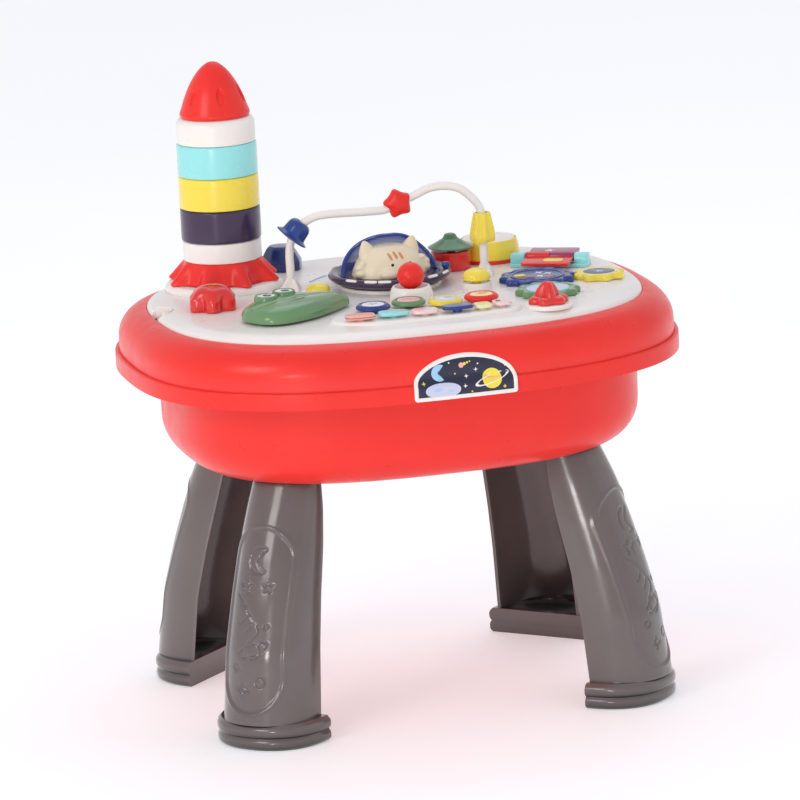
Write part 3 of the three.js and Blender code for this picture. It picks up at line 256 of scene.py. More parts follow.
def stack(profile, looped=False):
    """The table's ovals at the profile's insets and heights."""
    return loft([level(oval(inset), z) for inset, z in profile], looped)


def pad(outline, bottom, top, ease=0.6, steps=4, under=0.0):
    """An outline pushed up between two heights, its upper edge rounded, and its lower edge too if asked."""
    bends = quarter(steps)
    rings = [(0, bottom)]
    if under > 0:
        rings = [(under * (1 - math.sin(a)), bottom + under * (1 - math.cos(a))) for a in bends[:-1]]
    rings += [(ease * (1 - math.cos(a)), top - ease + ease * math.sin(a)) for a in bends]
    return loft([level(inset_by(outline, inset) if inset > 0 else outline, z) for inset, z in rings])


def tube(path, radius, steps, side=None):
    """A round bar along points in space, with flat ends. A path in a plane may give the plane's normal."""
    rings = []
    path = [Vector(point) for point in path]
    for i, point in enumerate(path):
        along = (path[min(i + 1, len(path) - 1)] - path[max(i - 1, 0)]).normalized()
        across = side or along.cross(Vector((0.141, 0.99, 0))).normalized()
        up = across.cross(along)
        rings.append([point + radius * (across * x + up * y) for x, y in circle(1, steps)])
    return loft(rings)


def sunk(outline, surface, depth, rise, shares=(1, 0.8, 0.6, 0.4, 0.2)):
    """A thin print on a surface: from under it up to a rise, then drawn in towards the outline's middle."""
    cx = sum(p[0] for p in outline) / len(outline)
    cy = sum(p[1] for p in outline) / len(outline)
    rings = [[surface(x, y, -depth) for x, y in outline]]
    edge = inset_by(outline, rise * 0.6)
    for share in shares:
        rings.append([surface(cx + (x - cx) * share, cy + (y - cy) * share, rise) for x, y in edge])
    return loft(rings)


def ridge_ring(outline, bottom, top, width):
    """A raised band round the inside of an outline."""
    lines = ((0, bottom), (0.1, top - 0.5), (0.5, top), (width - 0.5, top), (width, top - 0.5),
             (width * 1.1, bottom))
    return loft([level(inset_by(outline, inset), z) for inset, z in lines], True)


def shifted(body, offset, turn=0.0, tilt=None):
    vertices, faces = body
    matrix = Matrix.Translation(Vector(offset)) @ Matrix.Rotation(turn, 4, "Z") @ (tilt or Matrix.Identity(4))
    return [tuple(matrix @ Vector(v)) for v in vertices], faces


def box_body(size, centre):
    """A plain block, for cutting and for a leaf's hidden core."""
    x, y, z = Vector(size) / 2
    outline = [(-x, -y), (x, -y), (x, y), (-x, y)]
    return shifted(loft([level(outline, -z), level(outline, z)]), centre)


def ball(rx, ry, rz, centre=(0, 0, 0), steps=32, levels=16):
    vertices, faces = lathe([polar(1, math.pi * (k / levels - 0.5)) for k in range(levels + 1)], steps)
    return [(centre[0] + x * rx, centre[1] + y * ry, centre[2] + z * rz) for x, y, z in vertices], faces


# Objects
SHARP_EDGE = math.radians(34)


def linked(obj):
    bpy.context.scene.collection.objects.link(obj)
    return obj


def mesh_of(name, bodies):
    vertices, faces = [], []
    for body_vertices, body_faces in bodies:
        start = len(vertices)
        vertices += [tuple(c * MM for c in v) for v in body_vertices]
        faces += [tuple(start + i for i in face) for face in body_faces]
    mesh = bpy.data.meshes.new(name)
    mesh.from_pydata(vertices, [], faces)
    tidy(mesh)
    return mesh


def tidy(mesh):
    """Merges doubles, turns the faces out, and marks the sharp edges of a smooth mesh."""
    bm = bmesh.new()
    bm.from_mesh(mesh)
    bmesh.ops.remove_doubles(bm, verts=bm.verts, dist=2e-7)
    bmesh.ops.dissolve_degenerate(bm, edges=bm.edges, dist=1e-7)
    bmesh.ops.recalc_face_normals(bm, faces=bm.faces)
    for face in bm.faces:
        face.smooth = True
    for edge in bm.edges:
        edge.smooth = edge.calc_face_angle(0) < SHARP_EDGE
    bm.to_mesh(mesh)
    bm.free()


def piece(name, bodies, paint, body, stands_for=None, at=None, turn=0.0, tilt=None):
    """One piece of the object, from closed bodies, riding on a CAD body, with its paint.
    At, turn and tilt place its bodies."""
    if at is not None:
        bodies = [shifted(shape, at, turn, tilt) for shape in bodies]
    obj = linked(bpy.data.objects.new(name, mesh_of(name, bodies)))
    obj.data.materials.append(paint)
    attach(obj, body)
    if stands_for:
        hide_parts(stands_for)
    return obj


def apply_modifiers(obj):
    bpy.context.view_layer.update()
    old = obj.data
    new = bpy.data.meshes.new_from_object(obj.evaluated_get(bpy.context.evaluated_depsgraph_get()))
    obj.modifiers.clear()
    obj.data = new
    new.name = old.name
    bpy.data.meshes.remove(old)
    tidy(new)


def carve(obj, *bodies):
    """Cuts closed bodies out of an object."""
    for body in bodies:
        cutter = linked(bpy.data.objects.new("cutter", mesh_of("cutter", [body])))
        change = obj.modifiers.new("cut", "BOOLEAN")
        change.operation = "DIFFERENCE"
        change.solver = "EXACT"
        change.object = cutter
        apply_modifiers(obj)
        bpy.data.objects.remove(cutter)


def fuse(obj, voxel, rounds):
    """Melts overlapping bodies into one skin and smooths it."""
    melt = obj.modifiers.new("melt", "REMESH")
    melt.mode = "VOXEL"
    melt.voxel_size = voxel * MM
    relax = obj.modifiers.new("relax", "SMOOTH")
    relax.iterations = rounds
    relax.factor = 0.5
    apply_modifiers(obj)


def shader_of(name):
    """A new material, with its tree and shader."""
    material = bpy.data.materials.new(name)
    material.use_nodes = True
    return material, material.node_tree, material.node_tree.nodes["Principled BSDF"]


def fill(node, values):
    """Sets a node's inputs by name or number: a link from a socket, or else a plain value."""
    for key, value in values.items():
        socket = node.inputs[key]
        if isinstance(value, bpy.types.NodeSocket):
            node.id_data.links.new(value, socket)
        else:
            socket.default_value = (*value, 1) if socket.type == "RGBA" else value


def made(tree, kind, output, values={}):
    """An output of a new node."""
    node = tree.nodes.new("ShaderNode" + kind)
    fill(node, values)
    return node.outputs[output]


def noise(tree, scale, detail=3.0, stretch=None):
    """A noise value over the object's own coordinates."""
    source = made(tree, "TexCoord", "Object")
    if stretch:
        source = made(tree, "Mapping", "Vector", {"Scale": stretch, "Vector": source})
    return made(tree, "TexNoise", "Fac", {"Scale": scale, "Detail": detail, "Vector": source})


def ramp(tree, value, *stops):
    """A value turned into colours, or into greys where a stop has one number."""
    node = tree.nodes.new("ShaderNodeValToRGB")
    fill(node, {"Fac": value})
    for element, (position, colour) in zip(node.color_ramp.elements, stops):
        element.position = position
        element.color = (*(colour if isinstance(colour, tuple) else (colour,) * 3), 1)
    return node.outputs["Color"]


def mixed(tree, factor, a, b):
    node = tree.nodes.new("ShaderNodeMix")
    node.data_type = "RGBA"
    fill(node, {"Factor": factor, 6: a, 7: b})
    return node.outputs[2]


def linear(colour):
    return tuple(c / 12.92 if c <= 0.04045 else ((c + 0.055) / 1.055) ** 2.4 for c in colour)


def scaled(colour, factor, lift=0.0):
    return tuple(min(1, c * factor + lift) for c in colour)


def plastic(name, colour, roughness=0.24, coat=0.35, shade=0.06, ripple=0.07, glow=0.0, shine=0.5,
            painted_shade_reach=0.0):
    """Moulded plastic: slight cloudiness and flow marks in its colour, a rippled and finely grained skin, and
    edges that catch the light. Its hollows are darkened with painted shade, from ambient occlusion out to a
    set reach."""
    material, tree, shader = shader_of(name)
    base = linear(colour)
    clouds = ramp(tree, noise(tree, 14), (0.35, scaled(base, 1 - shade * 1.6)), (0.55, base))
    flow = ramp(tree, noise(tree, 30, 2, (1, 1, 0.12)), (0.45, 0), (0.8, 0.22))
    tone = mixed(tree, flow, clouds, scaled(base, 1.06, 0.012))
    edge = ramp(tree, made(tree, "NewGeometry", "Pointiness"), (0.53, 0), (0.60, 0.4))
    tone = mixed(tree, edge, tone, scaled(base, 1.15, 0.04))
    # painted shade: ambient occlusion blends hollows towards a near-black copy of the colour
    if painted_shade_reach:
        hollow = tree.nodes.new("ShaderNodeAmbientOcclusion")
        hollow.samples = 6
        fill(hollow, {"Distance": painted_shade_reach})
        tone = mixed(tree, ramp(tree, hollow.outputs["AO"], (0.3, 0), (0.72, 1)), scaled(base, 0.12), tone)
    dull = ramp(tree, noise(tree, 55, 4), (0.3, roughness - 0.05), (0.7, roughness + 0.06))
    wave = made(tree, "Bump", "Normal", {"Strength": ripple, "Distance": 0.004, "Height": noise(tree, 38, 1)})
    grain = made(tree, "Bump", "Normal",
                 {"Strength": 0.015, "Distance": 0.0004, "Height": noise(tree, 1400, 2), "Normal": wave})
    fill(shader, {"Base Color": tone, "Roughness": dull, "Normal": grain, "Specular IOR Level": shine,
                  "Coat Weight": coat, "Coat Roughness": 0.12, "Subsurface Weight": glow,
                  "Subsurface Radius": (0.004, 0.003, 0.0025)})
    return material


def clear_plastic(name, colour, alpha, roughness=0.06):
    """Tinted see-through plastic, denser where it curves away, with faint haze marks."""
    material, tree, shader = shader_of(name)
    base = linear(colour)
    fill(shader, {"Base Color": ramp(tree, noise(tree, 22), (0.3, scaled(base, 0.85)), (0.7, base)),
                  "Roughness": ramp(tree, noise(tree, 60, 3), (0.4, roughness), (0.75, roughness + 0.08)),
                  "Alpha": ramp(tree, made(tree, "LayerWeight", "Facing", {"Blend": 0.35}),
                                (0.15, alpha), (0.85, 0.95)),
                  "Coat Weight": 0.6})
    return material


def metal(name, colour, roughness=0.3):
    material, tree, shader = shader_of(name)
    base = linear(colour)
    tone = ramp(tree, noise(tree, 90, 3, (1, 1, 8)), (0.3, scaled(base, 0.8)), (0.7, base))
    fill(shader, {"Base Color": tone,
                  "Roughness": ramp(tree, noise(tree, 200, 3), (0.3, roughness), (0.7, roughness + 0.15)),
                  "Metallic": 1.0})
    return material


RED = plastic("red", (0.95, 0.20, 0.17), roughness=0.32, coat=0.1, shade=0.03, ripple=0.025, glow=0.05,
              shine=0.25)
DEEP_RED = plastic("deep_red", (0.89, 0.16, 0.13), roughness=0.2, shade=0.05)
WHITE = plastic("white", (0.955, 0.93, 0.905), roughness=0.32, coat=0.15, shade=0.015, ripple=0.03,
                glow=0.08)
# the taupe legs get painted shade in their hollow insides
TAUPE = plastic("taupe", (0.395, 0.355, 0.345), roughness=0.2, coat=0.6, ripple=0.08, painted_shade_reach=0.07)
NAVY = plastic("navy", (0.25, 0.18, 0.30), roughness=0.2, coat=0.25, shine=0.35)
DEEP_BLUE = plastic("deep_blue", (0.09, 0.20, 0.45), roughness=0.18)
YELLOW = plastic("yellow", (0.97, 0.87, 0.27), shade=0.03, ripple=0.04, glow=0.05)
CYAN = plastic("cyan", (0.60, 0.90, 0.90), shade=0.03, ripple=0.04, glow=0.05)
BLUE = plastic("blue", (0.13, 0.25, 0.54), roughness=0.2, shine=0.35)
GREEN = plastic("green", (0.41, 0.57, 0.38), roughness=0.2)
LEAF = plastic("leaf", (0.30, 0.48, 0.30), roughness=0.2)
SALMON = plastic("salmon", (0.98, 0.70, 0.63), glow=0.05)
BLUSH = plastic("blush", (0.97, 0.84, 0.83), shade=0.03)
LEMON = plastic("lemon", (0.96, 0.93, 0.72), shade=0.03)
MAGENTA = plastic("magenta", (0.62, 0.15, 0.35))
LILAC = plastic("lilac", (0.80, 0.80, 0.90), shade=0.04)
CREAM = plastic("cream", (0.95, 0.89, 0.77), roughness=0.36, coat=0.15, shade=0.03, ripple=0.04,
                glow=0.08)
TAN = plastic("tan", (0.87, 0.58, 0.42), roughness=0.4, coat=0.1)
INK = plastic("ink", (0.07, 0.09, 0.22), roughness=0.25)
DARK = plastic("dark", (0.10, 0.09, 0.09), roughness=0.4, coat=0.1)
PRINT_BLUE = plastic("print_blue", (0.62, 0.80, 0.94), shade=0.05)
FIBRE = plastic("fibre", (0.13, 0.36, 0.20), roughness=0.35)
STEEL = metal("steel", (0.72, 0.73, 0.75))
CLEAR_BLUE = clear_plastic("clear_blue", (0.38, 0.56, 0.97), alpha=0.42)
CLEAR_EDGE = clear_plastic("clear_edge", (0.12, 0.26, 0.66), alpha=0.8)


# Table: rim, tub, legs and front plate
def rim():
    """The red rim: an upright lip, a rounded shoulder and an inner ledge for the panel."""
    shoulder = (SHOULDER_INSET + SHOULDER_RADIUS, SHOULDER_Z)
    seat_inset = PANEL_INSET - GAP
    ledge_inset = SHOULDER_INSET + 36.1
    inner_radius = SHOULDER_RADIUS - WALL
    inner_start = 180 - math.degrees(math.acos((WALL - GAP) / inner_radius))
    inner_rise = math.sqrt(inner_radius ** 2 - (WALL - GAP) ** 2)
    profile = eased([(0, LIP_Z, 1.2), (0, LIP_TOP, 2.6), (SHOULDER_INSET, LIP_TOP, 1.2)], 1, 5, True)
    profile += arc(shoulder, SHOULDER_RADIUS, 180, 90, 20)
    profile += eased([(seat_inset, RIM_TOP - GAP), (seat_inset, LEDGE_Z, 0.8), (ledge_inset, LEDGE_Z),
                      (ledge_inset, LEDGE_Z - WALL), (seat_inset - WALL, LEDGE_Z - WALL)], 0.7, 3)
    profile += [(seat_inset - WALL, SHOULDER_Z + inner_rise)]
    profile += arc(shoulder, inner_radius, inner_start, 180, 10)[1:]
    profile += [(SHOULDER_INSET + WALL, LIP_TOP - WALL), (WALL, LIP_TOP - WALL), (WALL, LIP_Z)]
    piece("rim", [stack(profile, True)], RED, "table", "rim_shell")


TUB_INSET = 36.6
TUB_RADIUS = 37.0
TUB_DRAFT = 1.0
FLANGE_INSET = 15.4


def tub_side(grow, steps=14):
    bottom = (TUB_INSET + TUB_DRAFT + TUB_RADIUS, FLOOR_Z + TUB_RADIUS)
    return arc(bottom, TUB_RADIUS + grow, 270, 180, steps) + [(TUB_INSET - grow, LEDGE_Z - WALL - GAP)]


def tub():
    """The storage tub, with a flange under the rim and a socket for each leg's plug."""
    flange_z = LIP_TOP + 2 * WALL
    flange = [(TUB_INSET, flange_z - WALL), (FLANGE_INSET, flange_z - WALL), (FLANGE_INSET, flange_z),
              (TUB_INSET, flange_z)]
    outer = tub_side(0)
    basin = stack([*outer[:-1], *flange, outer[-1], *reversed(tub_side(-WALL))])
    hole = pad(plug_outline(GAP), FLOOR_Z - 2, FLOOR_Z + WALL + 1, 0.2)
    sleeve = pad(plug_outline(GAP + WALL), FLOOR_Z + WALL / 2, FLOOR_Z + PLUG_HEIGHT + GAP + WALL, 1)
    obj = piece("tub", [basin], RED, "table", "storage_tub")
    carve(obj, *(at_leg(hole, side) for side in LEG_SIDES))
    piece("tub_sockets", [at_leg(sleeve, side) for side in LEG_SIDES], RED, "table")


LEG_SIDES = ((-1, -1), (1, -1), (-1, 1), (1, 1))
LEG_NAMES = ("leg_front_left", "leg_front_right", "leg_rear_left", "leg_rear_right")
FOOT = Vector((155.2, 115.1))
FOOT_HALF_WIDTH = 52.8
FOOT_DEPTH = 57.0
FOOT_HEIGHT = 23.0
FOOT_POWER = 2.3
LEG_LEAN = 42.0
LEG_WALL = 3.2
PLUG_HEIGHT = 28.0
LEG_HEIGHTS = (0, 0.3, 0.52, 0.72, 0.88, 1.03)
LEG_SHARES = {"width": (0.825, 0.8, 0.753, 0.711, 0.651, 0.576),
              "depth": (0.97, 0.95, 0.905, 0.865, 0.77, 0.57),
              "lean": (-0.02, 0.15, 0.4, 0.68, 0.88, 1)}
LEG_LEVELS = 240
LEG_SOFTNESS = 15
FIELD_HALF_WIDTH = 29.0
FIELD_SHARES = (0.05, 0.83)
FIELD_DEPTH = 1.3
FIELD_LIP = 0.7
LINE_DEPTH = 1.1
LINE_WIDTH = 0.9


def d_outline(half_width, depth, start=0.0, steps=32):
    """A D: its flat side at start, its round side out along +X."""
    bends = [polar(1, math.pi * (i / steps - 0.5)) for i in range(steps + 1)]
    return [(start + (depth - start) * max(0.0, x) ** (2 / FOOT_POWER), half_width * power(y, 2 / FOOT_POWER))
            for x, y in bends]


def plug_outline(grow):
    return [(x - LEG_LEAN, y) for x, y in d_outline(24 + grow, 20 + grow, 3 - grow, 16)]


def at_leg(body, side):
    return shifted(body, (side[0] * FOOT.x, side[1] * FOOT.y, 0), math.atan2(side[1], side[0]))


def line_distance(points, lines):
    """The least distance from each point to any of the lines."""
    least = np.full(len(points), 1e3)
    for line in lines:
        for a, b in zip(line, line[1:]):
            a, b = np.array(a), np.array(b)
            along = b - a
            share = np.clip(((points - a) @ along) / (along @ along), 0, 1)
            least = np.minimum(least, np.linalg.norm(points - a - share[:, None] * along, axis=1))
    return least


def leg_lines():
    """Lines sunk in a leg's long field: a moon, stars, a ringed planet, a trail and bubbles."""
    marks = ((crescent(11), 1, 142), (star(5, 7.5, 3.4), -9, 119), (star(5, 5, 2.2), 12, 120),
             (circle(8, 24), 2, 66), (circle(3, 12), -14, 50), (circle(2, 12), 14, 86),
             (circle(4.5, 16), 11, 38), (star(4, 6, 2), -6, 31))
    lines = [[(cx + x, cz + z) for x, z in outline + outline[:1]] for outline, cx, cz in marks]
    lines += [[(-13 + 6 * k + 8 * math.sin(t / 6), 88 - 7 * k + t) for t in range(0, 26, 2)]
              for k in range(3)]
    ring = arc((0, 0), 1, -150, 150, 20)
    return lines + [[(2 + 15 * x * 0.95 - 3 * y, 66 + 4 * y + 6 * x) for x, y in ring]]


def leg_rings(around=150, inside=36):
    """Rings of a C-shaped section from the foot to the tub, with the long field and its lines pressed in."""
    top = FLOOR_Z - FOOT_HEIGHT
    heights = np.linspace(0, LEG_HEIGHTS[-1], LEG_LEVELS)
    kernel = np.hanning(2 * LEG_SOFTNESS + 1)
    kernel /= kernel.sum()
    along = []
    for shares in LEG_SHARES.values():
        values = np.interp(heights, LEG_HEIGHTS, shares)
        values = np.pad(values, LEG_SOFTNESS, mode="reflect", reflect_type="odd")
        along.append(np.convolve(values, kernel, "valid"))
    lines = leg_lines()
    rings = []
    for share, width, depth, lean in zip(heights, *along):
        half_width, reach, field_z = width * FOOT_HALF_WIDTH, depth * FOOT_DEPTH, share * top
        flat = np.array(d_outline(half_width, reach, 0, around))
        slope = np.gradient(flat, axis=0)
        normal = np.stack([slope[:, 1], -slope[:, 0]], 1) / np.linalg.norm(slope, axis=1)[:, None]
        past = max(0.0, top * FIELD_SHARES[0] + FIELD_HALF_WIDTH - field_z,
                   field_z - top * FIELD_SHARES[1] + FIELD_HALF_WIDTH)
        inward = FIELD_HALF_WIDTH - np.hypot(flat[:, 1], past)
        press = FIELD_DEPTH * smooth(np.clip(inward / 1.6, 0, 1))
        press -= FIELD_LIP * np.exp(-((inward + 1.4) / 1.2) ** 2)
        near = inward > 2
        if near.any():
            points = np.stack([flat[near, 1], np.full(near.sum(), field_z)], 1)
            press[near] += LINE_DEPTH * np.exp(-(line_distance(points, lines) / LINE_WIDTH) ** 2)
        inner = np.array(d_outline(half_width - LEG_WALL, reach - LEG_WALL, 0, inside))[::-1]
        section = np.concatenate([flat - normal * press[:, None], inner])
        rings.append([(x - lean * LEG_LEAN, y, FOOT_HEIGHT + field_z) for x, y in section])
    return rings


def foot_body():
    """Two equal rounded rolls round the leg's end, hollow below and closed in to the leg on top."""
    top, hollow = 11.5, 6.4
    rolls = eased([(3.4, 0, 0.8), (0.4, 2.4, 2.4), (0.2, 7.8, 2.6), (2.4, 10.8, 0.5), (0, 13.6, 2.6),
                   (0, 19.4, 3), (3.8, 23)], 1.4, 6)
    inner = [(top, FOOT_HEIGHT), (top, FOOT_HEIGHT - LEG_WALL), (hollow, FOOT_HEIGHT - LEG_WALL - 1),
             (hollow, 0)]
    return loft([level(d_outline(FOOT_HALF_WIDTH - inset, FOOT_DEPTH - inset, start), z)
                 for line, start in ((rolls, 0.0), (inner, hollow)) for inset, z in line], True)


def legs():
    """Four flared legs, each with a foot, a web under the tub and a plug in its socket."""
    shell, foot = loft(leg_rings()), foot_body()
    web = pad([(x - LEG_LEAN, y) for x, y in d_outline(FOOT_HALF_WIDTH * 0.6, FOOT_DEPTH * 0.55)],
              FLOOR_Z - LEG_WALL, FLOOR_Z - GAP, 0.2)
    plug = pad(plug_outline(0), FLOOR_Z - LEG_WALL / 2, FLOOR_Z + PLUG_HEIGHT, 1.5)
    under_tub = stack(tub_side(GAP, 10))
    for name, side in zip(LEG_NAMES, LEG_SIDES):
        obj = piece("flared_" + name, [at_leg(shell, side)], TAUPE, "table", name)
        carve(obj, under_tub)
        piece(name.replace("leg", "foot"), [at_leg(foot, side)], TAUPE, "table")
        piece(name.replace("leg", "leg_plug"), [at_leg(web, side), at_leg(plug, side)], TAUPE, "table")


PLATE_X = 5.0
PLATE_LIFT = 1.6
PRINT_LIFT = PLATE_LIFT - 0.7
PLATE_HALF_WIDTH = 47.0
PLATE_RISE = 1.5
PLATE_HEIGHT = 38.5
PLATE_SIDE = 13.0


def plate_surface(x, z, lift):
    """A point on the front plate: the rim's face with its step smoothed, pushed out by a lift."""
    inset = SHOULDER_INSET * smooth(clamp((z - LIP_Z - 12) / 10))
    if z > SHOULDER_Z:
        across = math.sqrt(max(0, SHOULDER_RADIUS ** 2 - (z - SHOULDER_Z) ** 2))
        inset = SHOULDER_INSET + SHOULDER_RADIUS - across
    inset -= GAP + lift
    share = min(1.0, abs(x + PLATE_X) / (HALF_LENGTH - inset))
    return x + PLATE_X, -(HALF_DEPTH - inset) * (1 - share ** OVAL_POWER) ** (1 / OVAL_POWER), z


def plate_outline():
    """A D on its flat side: short upright sides under half an ellipse."""
    bottom, side = LIP_Z + PLATE_RISE, LIP_Z + PLATE_RISE + PLATE_SIDE
    arch = bow(PLATE_HALF_WIDTH, PLATE_HEIGHT - PLATE_SIDE, [math.pi * k / 48 for k in range(49)])
    line = eased([(-PLATE_HALF_WIDTH, bottom, 3), (PLATE_HALF_WIDTH, bottom, 3),
                  *((x, side + z, 0) for x, z in arch)], 0, 8, True)
    dense = []
    for a, b in zip(line, line[1:] + line[:1]):
        count = max(1, int(math.dist(a, b) / 1.5))
        dense += [(a[0] + (b[0] - a[0]) * k / count, a[1] + (b[1] - a[1]) * k / count) for k in range(count)]
    return dense


def motif(name, outline, x, z, paint, rise=0.16):
    """A print on the front plate, at a place from its middle and the lip's underside."""
    placed = [(x + dx, LIP_Z + z + dz) for dx, dz in outline]
    body = sunk(placed, lambda px, pz, lift: plate_surface(px, pz, PRINT_LIFT + lift), 0.2, rise)
    piece("print_" + name, [body], paint, "table")


def front_plate():
    """A framed night sky: a ringed planet, a moon, a hill with craters, a comet and stars."""
    outline = plate_outline()
    steps = ((0, -0.2), (0, PRINT_LIFT), (0.2, PLATE_LIFT - 0.2), (0.8, PLATE_LIFT), (2.6, PLATE_LIFT),
             (3.2, PLATE_LIFT - 0.3), (3.5, PLATE_LIFT - 0.6), (3.5, -0.2), (0.1, -0.2))
    rings = [[plate_surface(x, z, lift) for x, z in inset_by(outline, inset)] for inset, lift in steps]
    piece("front_plate_frame", [loft(rings, True)], WHITE, "table", "front_plate")
    field, middle_z = inset_by(outline, 3.3), LIP_Z + PLATE_HEIGHT / 2
    rings = [[plate_surface(x, z, -0.1) for x, z in field]]
    for share in (1, 0.93, 0.8, 0.65, 0.5, 0.35, 0.2, 0.06):
        rings.append([plate_surface(x * share, middle_z + (z - middle_z) * share, PRINT_LIFT)
                      for x, z in field])
    piece("front_plate_field", [loft(rings)], INK, "table")
    motif("planet", circle(8.8, 40), 24, 16, YELLOW)
    motif("planet_band", squircle(8, 1.3, 0.8, 32), 24, 18, SALMON, 0.22)
    outer = [(16 * x, 3.8 * y + 4.4 * x) for x, y in circle(1, 48)]
    inner = [(x * 0.84, z * 0.8) for x, z in outer]
    rings = [[plate_surface(24 + x, LIP_Z + 16 + z, PRINT_LIFT + lift) for x, z in line]
             for line, lift in ((outer, -0.2), (outer, 0.3), (inner, 0.3), (inner, -0.2))]
    piece("print_planet_ring", [loft(rings, True)], WHITE, "table")
    motif("moon", crescent(7.4), -23, 25, PRINT_BLUE)
    motif("hill", squircle(16, 6.4, 0.9, 40), -21, 10, LILAC)
    motif("crater", squircle(4, 1.7, 0.9, 24), -26, 10.6, PRINT_BLUE, 0.22)
    motif("crater_small", squircle(2.2, 1, 0.9, 20), -14, 9, PRINT_BLUE, 0.22)
    motif("comet", circle(2.4, 24), -3, 30, SALMON)
    for i, (x, z) in enumerate(((0, 31.0), (2.6, 31.9), (4.8, 32.6))):
        motif(f"comet_tail_{i + 1}", circle(1.4 - 0.35 * i, 16), x, z, YELLOW)
    places = ((-9, 23), (1, 20), (12, 30), (-38, 17), (37, 26), (-1, 12), (5, 6.5), (10, 25), (-14, 33),
              (35, 8))
    for i, (x, z) in enumerate(places):
        shape = star(4, 2.1, 0.8) if i % 2 else circle(0.8, 12)
        motif(f"star_{i + 1}", shape, x, z, WHITE if i % 3 else YELLOW)


# Play panel
CONSOLE_SHARES = ((-0.37, -0.62), (-0.24, -0.73), (-0.02, -0.745), (0.17, -0.745), (0.29, -0.72),
                  (0.318, -0.66), (0.3, -0.58), (0.28, -0.48), (0.246, -0.41), (0.14, -0.41), (-0.2, -0.41),
                  (-0.33, -0.5))


def deck():
    """The panel's deck with its rounded edge and skirt, hollow below, with a finger notch at its left end."""
    spans = [PANEL_INSET + k * WALL for k in (20, 34, 47)]
    under = [(inset, DECK_Z - WALL) for inset in (*reversed(spans), PANEL_INSET + 5 * WALL)]
    under.append((PANEL_INSET + WALL, RIM_TOP - WALL))
    edge = [(PANEL_INSET + WALL, LEDGE_Z + GAP), (PANEL_INSET, LEDGE_Z + GAP, 0.5),
            (PANEL_INSET, RIM_TOP + 0.5, 1), (PANEL_INSET + 1.6, RIM_TOP + 3.4, 1.6),
            (PANEL_INSET + 3 * WALL, DECK_Z - 1.6, 5), (PANEL_INSET + 9 * WALL, DECK_Z)]
    shell = stack([*under, *eased(edge, 1.5, 6), *((inset, DECK_Z) for inset in spans)])
    obj = piece("deck", [shell], WHITE, "panel", "play_panel")
    notch = (-HALF_LENGTH + PANEL_INSET + 2, 11, 0)
    carve(obj, shifted(pad(circle(13, 40), LEDGE_Z - 3, DECK_Z + 3, 0.1), notch),
          shifted(pad(circle(11, 48), DECK_Z - WALL - 2, DECK_Z + 1, 0.1), middle("joystick_ring")))
    band = arc((0, 0), 15, -78, 78, 26) + arc((0, 0), 12.8, 78, -78, 26)
    piece("notch_wall", [pad(band, LEDGE_Z + GAP, DECK_Z - 0.1, 0.5)], WHITE, "panel", at=notch)


def console():
    outline = curve([(x * HALF_LENGTH, y * HALF_DEPTH) for x, y in CONSOLE_SHARES], 14, True)
    piece("console", [pad(outline, DECK_Z - 1, CONSOLE_Z, 2.6, 6)], WHITE, "panel")


def deck_fittings():
    """What stands on the deck as part of it: plinths, cups, collars and fine raised lines."""
    fittings = (
        ("rocket_nose", 2, 5, 96, [(0, -1), (54, -1), (54, 3.5, 2.5), (51, 6.5, 1.6), (0, 6.5)]),
        ("saucer_dish", 1, 4, 80, [(0, -1), (47, -1), (46, 3, 1), (0, 3)]),
        ("joystick_ring", 1, 6, 72, [(11, -1), (19.5, -1), (19.5, 5, 2), (18.6, 9, 2), (16.6, 12.4, 1.8),
                                     (15.1, 12.4, 0.5), (11, 6.5, 1)]),
        ("dome_light", 0.6, 4, 56, [(0, -1), (13.2, -1), (13.2, 7.9, 1), (12.2, 7.9, 0.4), (12.2, 6.5),
                                    (0, 6.5)]),
        ("star_knob", 1, 4, 64, [(0, -1), (21.4, -1), (21.4, 3, 1.4), (0, 3)]),
        ("small_dome", 0.6, 4, 48, [(0, -1), (13.2, -1), (12.6, 1.2, 1), (0, 1.2)]))
    bodies = [shifted(turned(profile, ease, bends, around, DECK_Z), middle(node))
              for node, ease, bends, around, profile in fittings]
    collar = loft([level(lobed(r, 4, d, 16, 0.4, 2.2), DECK_Z + z) for r, d, z in (
        (8.6, 2.6, -1), (8.6, 2.6, 0.3), (8.4, 3.0, 2.2), (7.2, 2.6, 5.2), (6.0, 1.7, 8), (5.2, 0.8, 10.4),
        (4.6, 0.1, 11.6))])
    bodies += [shifted(collar, LEFT_POST), shifted(collar, RIGHT_POST)]
    piece("deck_fittings", bodies, WHITE, "panel")
    ridge = curve([(22, -70), (36, -66), (44, -54), (51.5, -50)], 10)
    lines = [tube(level(ridge, DECK_Z + 0.3), 1.1, 12)]
    for x, y, r in ((164, -88, 6.5), (152, -104, 4.2), (140, -120, 3.4), (176, -80, 3)):
        ring = [(r - 1.3, -0.4), (r + 1.3, -0.4), (r + 0.7, 0.9), (r - 0.7, 0.9)]
        lines.append(shifted(turned(ring, 0.5, 3, 40, DECK_Z), (x, y, 0)))
    piece("deck_relief", lines, WHITE, "panel")
    orbit = curve([(-62, 62), (-40, 84), (-14, 92), (12, 92), (34, 84)], 12)
    piece("orbit_line", [tube(level(orbit, DECK_Z + 0.05), 0.9, 10)], PRINT_BLUE, "panel")
    dot = turned([(0, -0.3), (2.6, -0.3), (2.6, 0.9, 0.6), (0, 1.1)], 0.4, 4, 28)
    for i, share in enumerate((0.25, 0.6, 0.9)):
        x, y = orbit[int(share * (len(orbit) - 1))]
        piece(f"orbit_dot_{i + 1}", [dot], BLUE if i % 2 else WHITE, "panel", at=(x, y, DECK_Z))


# Rocket
ROCKET_WALL = 2.4
SPIGOT_RADIUS = 29.0
SPIGOT_HEIGHT = 6
NOSE_RADIUS = 32.0
NOSE_TURN = 31.0
NOSE_STEPS = 288
DIMPLES = 6


